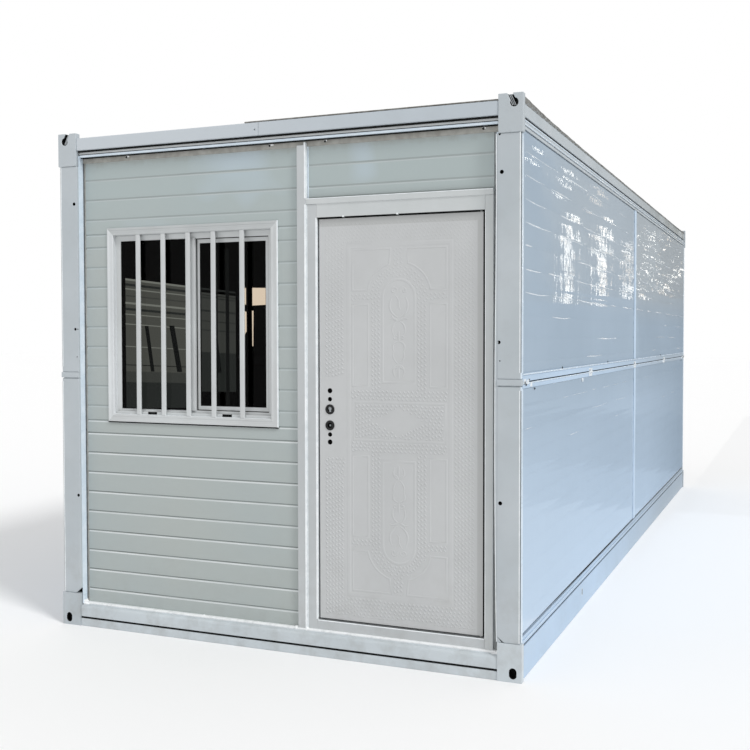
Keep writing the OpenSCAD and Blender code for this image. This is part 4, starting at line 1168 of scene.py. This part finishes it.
def scrollwork(bm, place):
    """Common leaf-and-scroll ornament down the middle of each long medallion."""
    def stroke(points, widest):
        widths = [widest * (0.35 + 0.65 * math.sin(math.pi * (i + 0.6) / (len(points) + 0.2)))
                  for i in range(len(points))]
        add_bead(bm, points, widths, 0.0015, place)

    quarter = [(bow(*ends), widest) for *ends, widest in BOWS]
    for turns, size, eye_u, eye_v, turn, widest in SCROLLS:
        c, s = math.cos(turn), math.sin(turn)
        points = [(eye_u + u * c - v * s, eye_v + u * s + v * c) for u, v in scroll(turns, size)]
        quarter.append((points, widest))
    for up in (-1, 1):
        for side in (-1, 1):
            for points, widest in quarter:
                stroke([(u * side, v * up) for u, v in points], widest)
        stroke([(0, v * up) for v in (0.250, 0.236, 0.222, 0.208, 0.196)], 0.010)
        stroke([(0, v * up) for v in (0.410, 0.395, 0.380, 0.366)], 0.010)


def door_leaf():
    """The pressed steel leaf: plain skin, hatched fields, mouldings and ornament on both faces."""
    skin, cutters = bmesh.new(), bmesh.new()
    add_box(skin, LEAF_LOW, LEAF_HIGH, 0.0025)
    for z, radius in LOCK_HOLES:
        add_plug(cutters, (LEAF_LOW.x + LOCK_IN, LEAF_LOW.y - 0.002, z), (0, 1, 0), radius, 0.014)
    make_piece("door_leaf_skin", cut(skin, cutters), "door_paint", FINISH["door_paint"], HOLLOW_SHADE,
               body="door", replaces=("door_leaf",))
    for face, y, out in (("front", LEAF_LOW.y, -1), ("back", LEAF_HIGH.y, 1)):
        # The back is the front turned round, so its u runs the other way.
        def place(u, v, w, y=y, out=out):
            return Vector((LEAF_MIDDLE.x - out * u, y + out * w, LEAF_MIDDLE.z + v))
        hatch, relief = bmesh.new(), bmesh.new()
        hatch_ribs(hatch, place, 1, 0.0100, 0.0018, out)
        hatch_ribs(hatch, place, -1, 0.006, 0.0010, out)
        mouldings(relief, place)
        scrollwork(relief, place)
        for name, bm in (("door_hatching_", hatch), ("door_mouldings_", relief)):
            make_piece(name + face, bm, "door_paint", body="door", smooth_under=60)


def door_lock():
    """Escutcheon rings, the key cylinder and the square follower behind them."""
    dress("door_lock_rings", 0.0008, BLACK_STEEL)
    bm = bmesh.new()
    x, y = LEAF_LOW.x + LOCK_IN, LEAF_LOW.y
    add_turned(bm, [(0, 0.004), (0.0085, 0.004), (0.0085, 0.012), (0.0075, 0.013), (0, 0.013)],
               (x, y + 0.0125, 1.145), (0, -1, 0))
    add_box(bm, (x - 0.005, y + 0.001, 1.127), (x + 0.005, y + 0.0125, 1.140), 0.001)
    add_box(bm, (x - 0.004, y + 0.002, 1.063), (x + 0.004, y + 0.0125, 1.071), 0.0008)
    make_piece("lock_cylinder", bm, "bare_steel", body="door")


def door_gasket():
    """Rubber weatherstrip on the stops and under the head, and foam down the leaf's hinge edge:
    they show as the dark line round the leaf."""
    rubber, foam = bmesh.new(), bmesh.new()
    profile = [(0.0, 0.0), (0.0, 0.003), (0.002, 0.0048), (0.009, 0.0048), (0.011, 0.003), (0.011, 0.0)]
    frame_bead(rubber, (LEAF_LOW.x - 0.0075, LEAF_LOW.z - 0.0055),
               (LEAF_HIGH.x + 0.0095, LEAF_HIGH.z + 0.0055), profile, on_front(LEAF_HIGH.y + 0.008))
    add_box(rubber, (LEAF_LOW.x - 0.008, LEAF_LOW.y - 0.0104, LEAF_HIGH.z + 0.0045),
            (LEAF_HIGH.x + 0.010, LEAF_HIGH.y + 0.004, LEAF_HIGH.z + 0.0062))
    add_box(foam, (LEAF_HIGH.x - 0.0003, LEAF_LOW.y + 0.0008, LEAF_LOW.z + 0.004),
            (LEAF_HIGH.x + 0.0006, LEAF_HIGH.y - 0.002, LEAF_HIGH.z - 0.004))
    make_piece("door_weatherstrip", rubber, "trim_paint", RUBBER_AND_SHADE)
    make_piece("door_edge_foam", foam, "door_paint", RUBBER_AND_SHADE, body="door")


# ---- Long sides ----

# The height of the fold, where its hinges turn.
FOLD_Z = 1.278


def fold_trims():
    """The fold's seam: a flange in a bluish painted highlight that leaves a thin dark line, and a
    rolled lip over the rail in the same painted highlight.
    """
    dark, pale = bmesh.new(), bmesh.new()
    low, high = box_of("right_fold_rails")
    along = (low.y, high.y)
    add_strips(dark, high.x, along, [(0.045, 0.008, FOLD_Z - 0.0057, FOLD_Z + 0.0057, 0.0)])
    add_strips(pale, high.x, along, [(0.040, 0.001, FOLD_Z - 0.0058, FOLD_Z + 0.0010, 0.001),
                                     (0.002, -0.0045, high.z - 0.0075, high.z - 0.0005, 0.002)])
    make_piece("fold_seals", dark, "frame_paint", RUBBER_AND_SHADE)
    make_piece("fold_lips", pale, "frame_paint", BLUISH_HIGHLIGHT)


def fold_fittings():
    """Small catches and bolts along the fold, near the posts and between the hinges."""
    pale, dark = bmesh.new(), bmesh.new()
    x = POST_HIGH.x
    catch = Vector((0.003, 0.014, 0.010))
    for end in (-1, 1):
        for y, z in ((2.862, 1.285), (2.815, 1.281), (2.760, 1.268)):
            middle = Vector((x, end * y, z))
            add_pair(pale, middle - catch, middle + catch, 0.001)
    for side in (-1, 1):
        for end in (-1, 1):
            # Bolts by the posts: how far along, height, radius and how far out.
            for y, z, radius, out in ((2.868, 1.279, 0.007, 0.002), (2.845, 1.270, 0.0055, 0.002),
                                      (2.700, 1.247, 0.006, 0.001), (2.795, 1.290, 0.004, 0.002)):
                add_screw(dark, (side * (x + out), end * y, z), (side, 0, 0), radius)
        for y, z in ((-1.705, 1.243), (1.449, 1.262)):
            add_turned(pale, [(0, 0), (0.012, 0), (0.010, 0.004), (0, 0.005)], (side * x, y, z),
                       (side, 0, 0), 14)
        for y, z in ((-2.162, 1.3235), (-0.98, 1.3235), (0.02, 1.3230), (1.30, 1.3235)):
            add_screw(dark, (side * (x - 0.002), y, z), (side, 0, 0), 0.006)
    make_piece("fold_catches", pale, "frame_paint", WHITE_AND_HIGHLIGHT)
    make_piece("fold_bolts", dark, "bare_steel", BLACK_STEEL)


def fold_hinges():
    """Butt hinges over the fold, painted white: two plates, five knuckles and a bolt each."""
    bm, screws = bmesh.new(), bmesh.new()
    low, high = box_of("side_fold_hinges")
    x, half_long, knuckle = POST_HIGH.x, 0.040, 0.016
    profile = [(0, 0.0004), (0.0044, 0.0004), (0.0049, 0.001), (0.0049, 0.015), (0.0044, 0.0156),
               (0, 0.0156)]
    for middle in (-1.5, 0.0, 1.5):
        for z1, z2 in ((low.z, FOLD_Z - 0.002), (FOLD_Z + 0.002, high.z)):
            add_pair(bm, (x, middle - half_long, z1), (x + 0.003, middle + half_long, z2), 0.0008)
        for side in (-1, 1):
            for i in range(5):
                add_turned(bm, profile, (side * (x + 0.003), middle - half_long + i * knuckle, FOLD_Z),
                           (0, 1, 0), 16)
            add_screw(screws, (side * (x + 0.0025), middle - 0.030, 1.2885), (side, 0, 0), 0.006)
    make_piece("fold_hinges", bm, "bare_steel", WHITE_AND_HIGHLIGHT, replaces=("side_fold_hinges",))
    make_piece("fold_hinge_screws", screws, "bare_steel", BLACK_STEEL)


# How deep the side panels' pressed lines are under their film.
SIDE_LINE_DEEP = 0.0022


def film_creases(node, heights, face_x, side):
    """Here and there the film over a pressed line has lifted into a thin crease, coloured near white as
    a painted highlight, and on the upper panels a darker bead below it is painted shade on the skin.
    Heights are those of the lines' edges. The left panels' creases face left from the right wall's
    plane, so they lie unseen inside that wall."""
    film = bmesh.new()
    low, high = box_of(node)
    place = on_side(face_x - SIDE_LINE_DEEP, side)
    rng = random.Random(len(node) * 7 + side)
    upper = high.z > 2.0
    for z in sorted(heights)[1:-1]:
        share = 0.9 if upper else 0.4 if z > 0.9 else 0.0
        if upper and z <= 1.6:
            share *= 0.55
        y = low.y + 0.05
        while y < high.y - 0.1:
            run = min(rng.uniform(0.10, 0.65), high.y - 0.02 - y)
            if rng.random() < share and abs(y + run / 2) > 0.2:
                line = z + rng.uniform(-0.004, 0.002)
                sag = min(0.012, run * 0.016) * rng.uniform(-0.4, 1.0)
                path = [(y, line), (y + run * 0.25, line - sag * 0.7), (y + run * 0.6, line - sag),
                        (y + run, line)]
                thick = rng.uniform(0.006, 0.011) if upper else 0.004
                add_bead(film, path, [thick * 0.3, thick, thick * 0.8, thick * 0.3], 0.0032, place)
                if upper:
                    hollow = [(u, v - thick * 0.8) for u, v in path]
                    add_bead(film, hollow, [thick * 0.2, thick * 0.6, thick * 0.5, thick * 0.2], 0.0010,
                             place, material=1)
            y += run + rng.uniform(0.04, 0.30)
    make_piece(node + "_film_creases", film, SLOT_OF[node], CREASE_HIGHLIGHT, FILM_HOLLOW)


def side_panel(node):
    """A long side's panels, whose pressed lines are made shallow, and the creases of their film."""
    bm = node_form(node)
    low, high = box_of(node)
    side = 1 if high.x > 0 else -1
    face_x = max(abs(low.x), abs(high.x))
    heights = set()
    for vert in bm.verts:
        if 0.003 < face_x - abs(vert.co.x) < 0.004:
            heights.add(round(vert.co.z, 4))
            vert.co.x = side * (face_x - SIDE_LINE_DEEP)
    finish_node(node, bm)
    film_creases(node, heights, face_x, side)


def end_panel(node):
    """A stretch of an end wall: the downward slopes of its pressed lines are coloured as painted shade,
    the upward ones as painted highlights.
    """
    bm = node_form(node)
    for face in bm.faces:
        if abs(face.normal.y) > 0.4 and abs(face.normal.z) > 0.2:
            face.material_index = 1 if face.normal.z < 0 else 2
    finish_node(node, bm, FINISH[SLOT_OF[node]], *PAINTED_SLOPES)


# ---- Stage, light and camera ----

def studio_floor():
    """A pale, matt floor."""
    bm = bmesh.new()
    bmesh.ops.create_grid(bm, x_segments=1, y_segments=1, size=60)
    made, node = start("studio_floor")
    floor = show("studio_floor", bm, [finish(made, node, Base_Color=linear("#FAFAFA"), Roughness=0.9)])


def sky_and_sun():
    """A white sky, dimmer for what it lights than for what sees it, and one soft sun from the right
    and the front."""
    world = bpy.data.worlds.new("studio")
    bpy.context.scene.world = world
    world.use_nodes = True
    world.node_tree.nodes.clear()
    node = partial(add, world.node_tree)
    rays = node("LightPath").outputs
    seen = node("Math", (rays["Is Camera Ray"], rays["Is Glossy Ray"]), operation="MAXIMUM")
    seen = node("Math", (seen, rays["Is Transmission Ray"]), operation="MAXIMUM")
    strength = node("MapRange", {"Value": seen, "To Min": 0.72, "To Max": 1.0})
    node("OutputWorld", (node("Background", ((1.0, 1.0, 1.0, 1.0), strength)),))

    sun = bpy.data.lights.new("key_softbox", "SUN")
    sun.energy, sun.angle = 1.45, math.radians(12)
    lamp = bpy.data.objects.new("key_softbox", sun)
    lamp.rotation_euler = Vector((0.68, -0.29, 0.68)).to_track_quat("Z", "Y").to_euler()
    bpy.context.scene.collection.objects.link(lamp)


def add_face(bm, corners, material):
    """One flat face through these points."""
    bm.faces.new([bm.verts.new(corner) for corner in corners]).material_index = material


def reflection_cards():
    """Grey cards with tall bright slots far behind the right side. Only reflections see them: they
    give the glossy film its darker tone and its broken streaks, and they light nothing."""
    far_y, ground_top, card_x1, card_x2, card_x3 = 12.0, 2.17, 1.6, 3.1, 12.0
    shades = [glowing("card_" + colour[1:], colour, 1.0)
              for colour in ("#9AA9B8", "#75828F", "#98968C", "#858C90", "#5C5E5F", "#A7A8A2",
                              "#BFD0E2", "#8E9FB0", "#5F6D7A")]
    slots = [glowing("bright_slot", "#FFFBF2", 8.0), glowing("dim_slot", "#FFEBD0", 4.0)]
    (light_card, dark_card, warm, cool, deep, light, near_ground, mid_ground, far_ground, bright,
     dim) = range(len(shades + slots))
    bm = bmesh.new()

    def sheet(x1, z1, x2, z2, y, material):
        add_face(bm, ((x1, y, z1), (x2, y, z1), (x2, y, z2), (x1, y, z2)), material)

    sheet(card_x2, -0.01, card_x3, ground_top, far_y, light_card)
    sheet(card_x1, -0.01, card_x2, ground_top, far_y, dark_card)
    rng = random.Random(5)
    x = card_x1
    while x < card_x3:
        near = x < card_x2
        width = rng.uniform(0.08, 0.35) * (1.0 if near else 2.0)
        shade = rng.choice((cool, deep, deep) if near else (warm, cool, light))
        sheet(x, ground_top, x + width, 9.0, far_y, shade)
        x += width
    # Clusters of slots, like gaps between trees: their width and height are split at random.
    for x1, x2, z1, z2 in ((4.38, 4.50, ground_top, 3.75), (4.44, 4.50, 4.35, 4.80),
                           (3.74, 3.85, ground_top, 3.62), (3.78, 3.86, 4.05, 4.50),
                           (3.28, 3.33, ground_top, 3.2), (5.02, 5.10, 4.98, 5.25)):
        x = x1
        while x < x2:
            thin = rng.uniform(0.012, 0.034)
            z = z1
            while z < z2:
                tall = rng.uniform(0.10, 0.45)
                sheet(x, z, x + thin, min(z2, z + tall), far_y - 0.02, rng.choice((bright, bright, dim)))
                z += tall + rng.uniform(0.01, 0.07)
            x += thin + rng.uniform(0.006, 0.018)
    # Small glints low over the dark card.
    for i in range(72):
        x = 2.26 + i * 0.0125 + rng.uniform(0.0, 0.01)
        z = 2.20 + rng.uniform(0.0, 1.3)
        sheet(x, z, x + rng.uniform(0.006, 0.014), z + rng.uniform(0.03, 0.09), far_y - 0.02,
              rng.choice((bright, bright, dim)))
    # The ground beside the house, for the lower panels.
    for y1, y2, shade in ((-2.0, 1.5, near_ground), (1.5, 4.0, mid_ground), (4.0, far_y, far_ground)):
        add_face(bm, ((1.3, y1, 0.003), (9.0, y1, 0.003), (9.0, y2, 0.003), (1.3, y2, 0.003)), shade)
    cards = show("reflection_cards", bm, shades + slots)
    cards.visible_camera = cards.visible_diffuse = cards.visible_transmission = False
    cards.visible_shadow = False


def yard_in_panes():
    """What the panes mirror: a dim yard with a ribbed wall, leaning boards and one sunlit gap. A
    thin card just behind the glass, seen only through it."""
    tones = [glowing("yard_" + colour[1:], colour, strength) for colour, strength in
             (("#948F86", 6.4), ("#928F88", 4.2), ("#8E8F8A", 2.0), ("#C9C3B8", 8.5), ("#FFDFC6", 23.0),
              ("#8C8F8C", 0.5))]
    wall, low_wall, foot, rib, sun, board = range(len(tones))
    bm = bmesh.new()

    def patch(corners, tone):
        # Each patch lies a little in front of the last one.
        add_face(bm, [(x, WINDOW_BACK - 0.0001 * len(bm.faces), z) for x, z in corners], tone)

    def falling(x, z):
        return z - 0.105 * (x + 0.92) / 0.82 * (z - 1.25) / 0.55

    def band(x1, x2, z1, z2, tone):
        patch([(x, falling(x, z)) for x, z in ((x1, z1), (x2, z1), (x2, z2), (x1, z2))], tone)

    left, sash_x2 = LIGHT_X + BAND_W, -0.245
    band(left, LIGHT_MIDDLE, 1.30, 1.775, wall)
    band(left, LIGHT_MIDDLE, 1.245, 1.30, low_wall)
    band(left, LIGHT_MIDDLE, 1.11, 1.245, foot)
    band(LIGHT_MIDDLE, sash_x2, 1.42, 1.735, low_wall)
    band(LIGHT_MIDDLE, sash_x2, 1.20, 1.42, foot)
    for z, thick, tone in ((1.775, 0.010, rib), (1.750, 0.012, foot), (1.725, 0.006, rib),
                           (1.690, 0.006, low_wall), (1.655, 0.010, rib), (1.625, 0.012, foot),
                           (1.595, 0.005, rib), (1.545, 0.005, rib), (1.430, 0.004, rib),
                           (1.335, 0.004, board)):
        band(left, LIGHT_MIDDLE, z - thick, z, tone)
        if z > 1.5:
            band(LIGHT_MIDDLE, sash_x2, z - thick, z, max(tone - 1, low_wall))
    for x, lean, wide in ((-0.628, 0.045, 0.030), (-0.775, 0.035, 0.022), (-0.375, 0.030, 0.020)):
        patch([(x, 1.53), (x + wide, 1.53), (x + wide + lean, 1.30), (x + lean, 1.30)], board)
    for x in (-0.365, -0.300):
        patch([(x, 1.12), (x + 0.020, 1.12), (x + 0.020, 1.90), (x, 1.90)], board)
    for corners in ([(-0.198, 1.630), (-0.185, 1.630), (-0.185, 1.710), (-0.198, 1.710)],
                    [(-0.150, 1.625), (-0.075, 1.628), (-0.075, 1.708), (-0.150, 1.710)],
                    [(-0.198, 1.480), (-0.183, 1.500), (-0.183, 1.595), (-0.198, 1.600)],
                    [(-0.151, 1.430), (-0.146, 1.430), (-0.144, 1.600), (-0.152, 1.600)]):
        patch(corners, sun)
    card = show("yard_in_panes", bm, tones)
    card.visible_camera = card.visible_diffuse = card.visible_glossy = card.visible_shadow = False


def camera():
    """Stands at eye height off the front right corner; the small shifts set the framing."""
    lens = bpy.data.cameras.new("camera")
    lens.sensor_width, lens.lens = 36.0, 47.032
    lens.shift_x, lens.shift_y = -0.0702, -0.01352
    stand = bpy.data.objects.new("camera", lens)
    stand.location = (2.336, -6.914, 1.480)
    stand.rotation_euler = (math.radians(90 - 1.7016), 0.0, math.radians(21.165))
    bpy.context.scene.collection.objects.link(stand)
    bpy.context.scene.camera = stand


# ---- Putting it together ----

# Nodes that are only eased and painted: how far, and in what if it isn't their slot's finish.
PLAIN_NODES = (
    (0, (), ("roof_sheet", "window_glass")),
    (0.0015, (), ("post_fold_bands",)),
    (0.002, (), ("floor_joists", "floor_board", "ceiling_panel", "door_jamb_left", "door_sill")),
    (0.003, (), ("roof_beam_rear",)),
    (0.003, (LIGHTER_ENAMEL,), ("base_beam_front", "base_beam_rear")),
    (0.003, (REAR_DARKER_RAIL,), ("roof_rail_left", "roof_rail_right")),
    (0.003, (FILM_AND_SKY_RAIL,), ("base_rail_left", "base_rail_right")),
    (0.002, (FILM_AND_SKY_RAIL,), ("left_fold_rails", "right_fold_rails")),
    (0.002, (LIGHTENED_DOOR_TRIM,), ("door_jamb_right", "door_head")),
    (0.002, (FILMED_STRIP,), ("side_cover_strips",)),
)

bpy.context.scene.view_settings.view_transform = "Standard"
for ease, materials, nodes in PLAIN_NODES:
    for name in nodes:
        dress(name, ease, *materials)
for name in ("bottom_corner_blocks", "top_corner_blocks"):
    corner_blocks(name)
for end in ("front", "rear"):
    for side, holes in POST_HOLES.items():
        post("%s_%s_post" % (end, side), holes)
for name in ("left_wall_lower", "left_wall_upper", "right_wall_lower", "right_wall_upper"):
    side_panel(name)
for name in ("rear_wall_lower", "rear_wall_middle", "rear_wall_upper", "front_wall_lower",
             "front_wall_middle", "front_wall_upper", "transom_panel"):
    end_panel(name)
for build in (block_fittings, base_ledges, foot_flap, roof_beam_splice, groove_and_gap_shade, rail_flashings,
              rail_slots, roof_closures, top_rails, mullion, bowed_edge, edge_strips,
              front_fasteners, roof_screws, window_casing, window_sash, window_bars, window_track,
              door_leaf, door_lock, door_gasket, fold_trims, fold_fittings, fold_hinges,
              studio_floor, sky_and_sun, reflection_cards, yard_in_panes, camera):
    build()
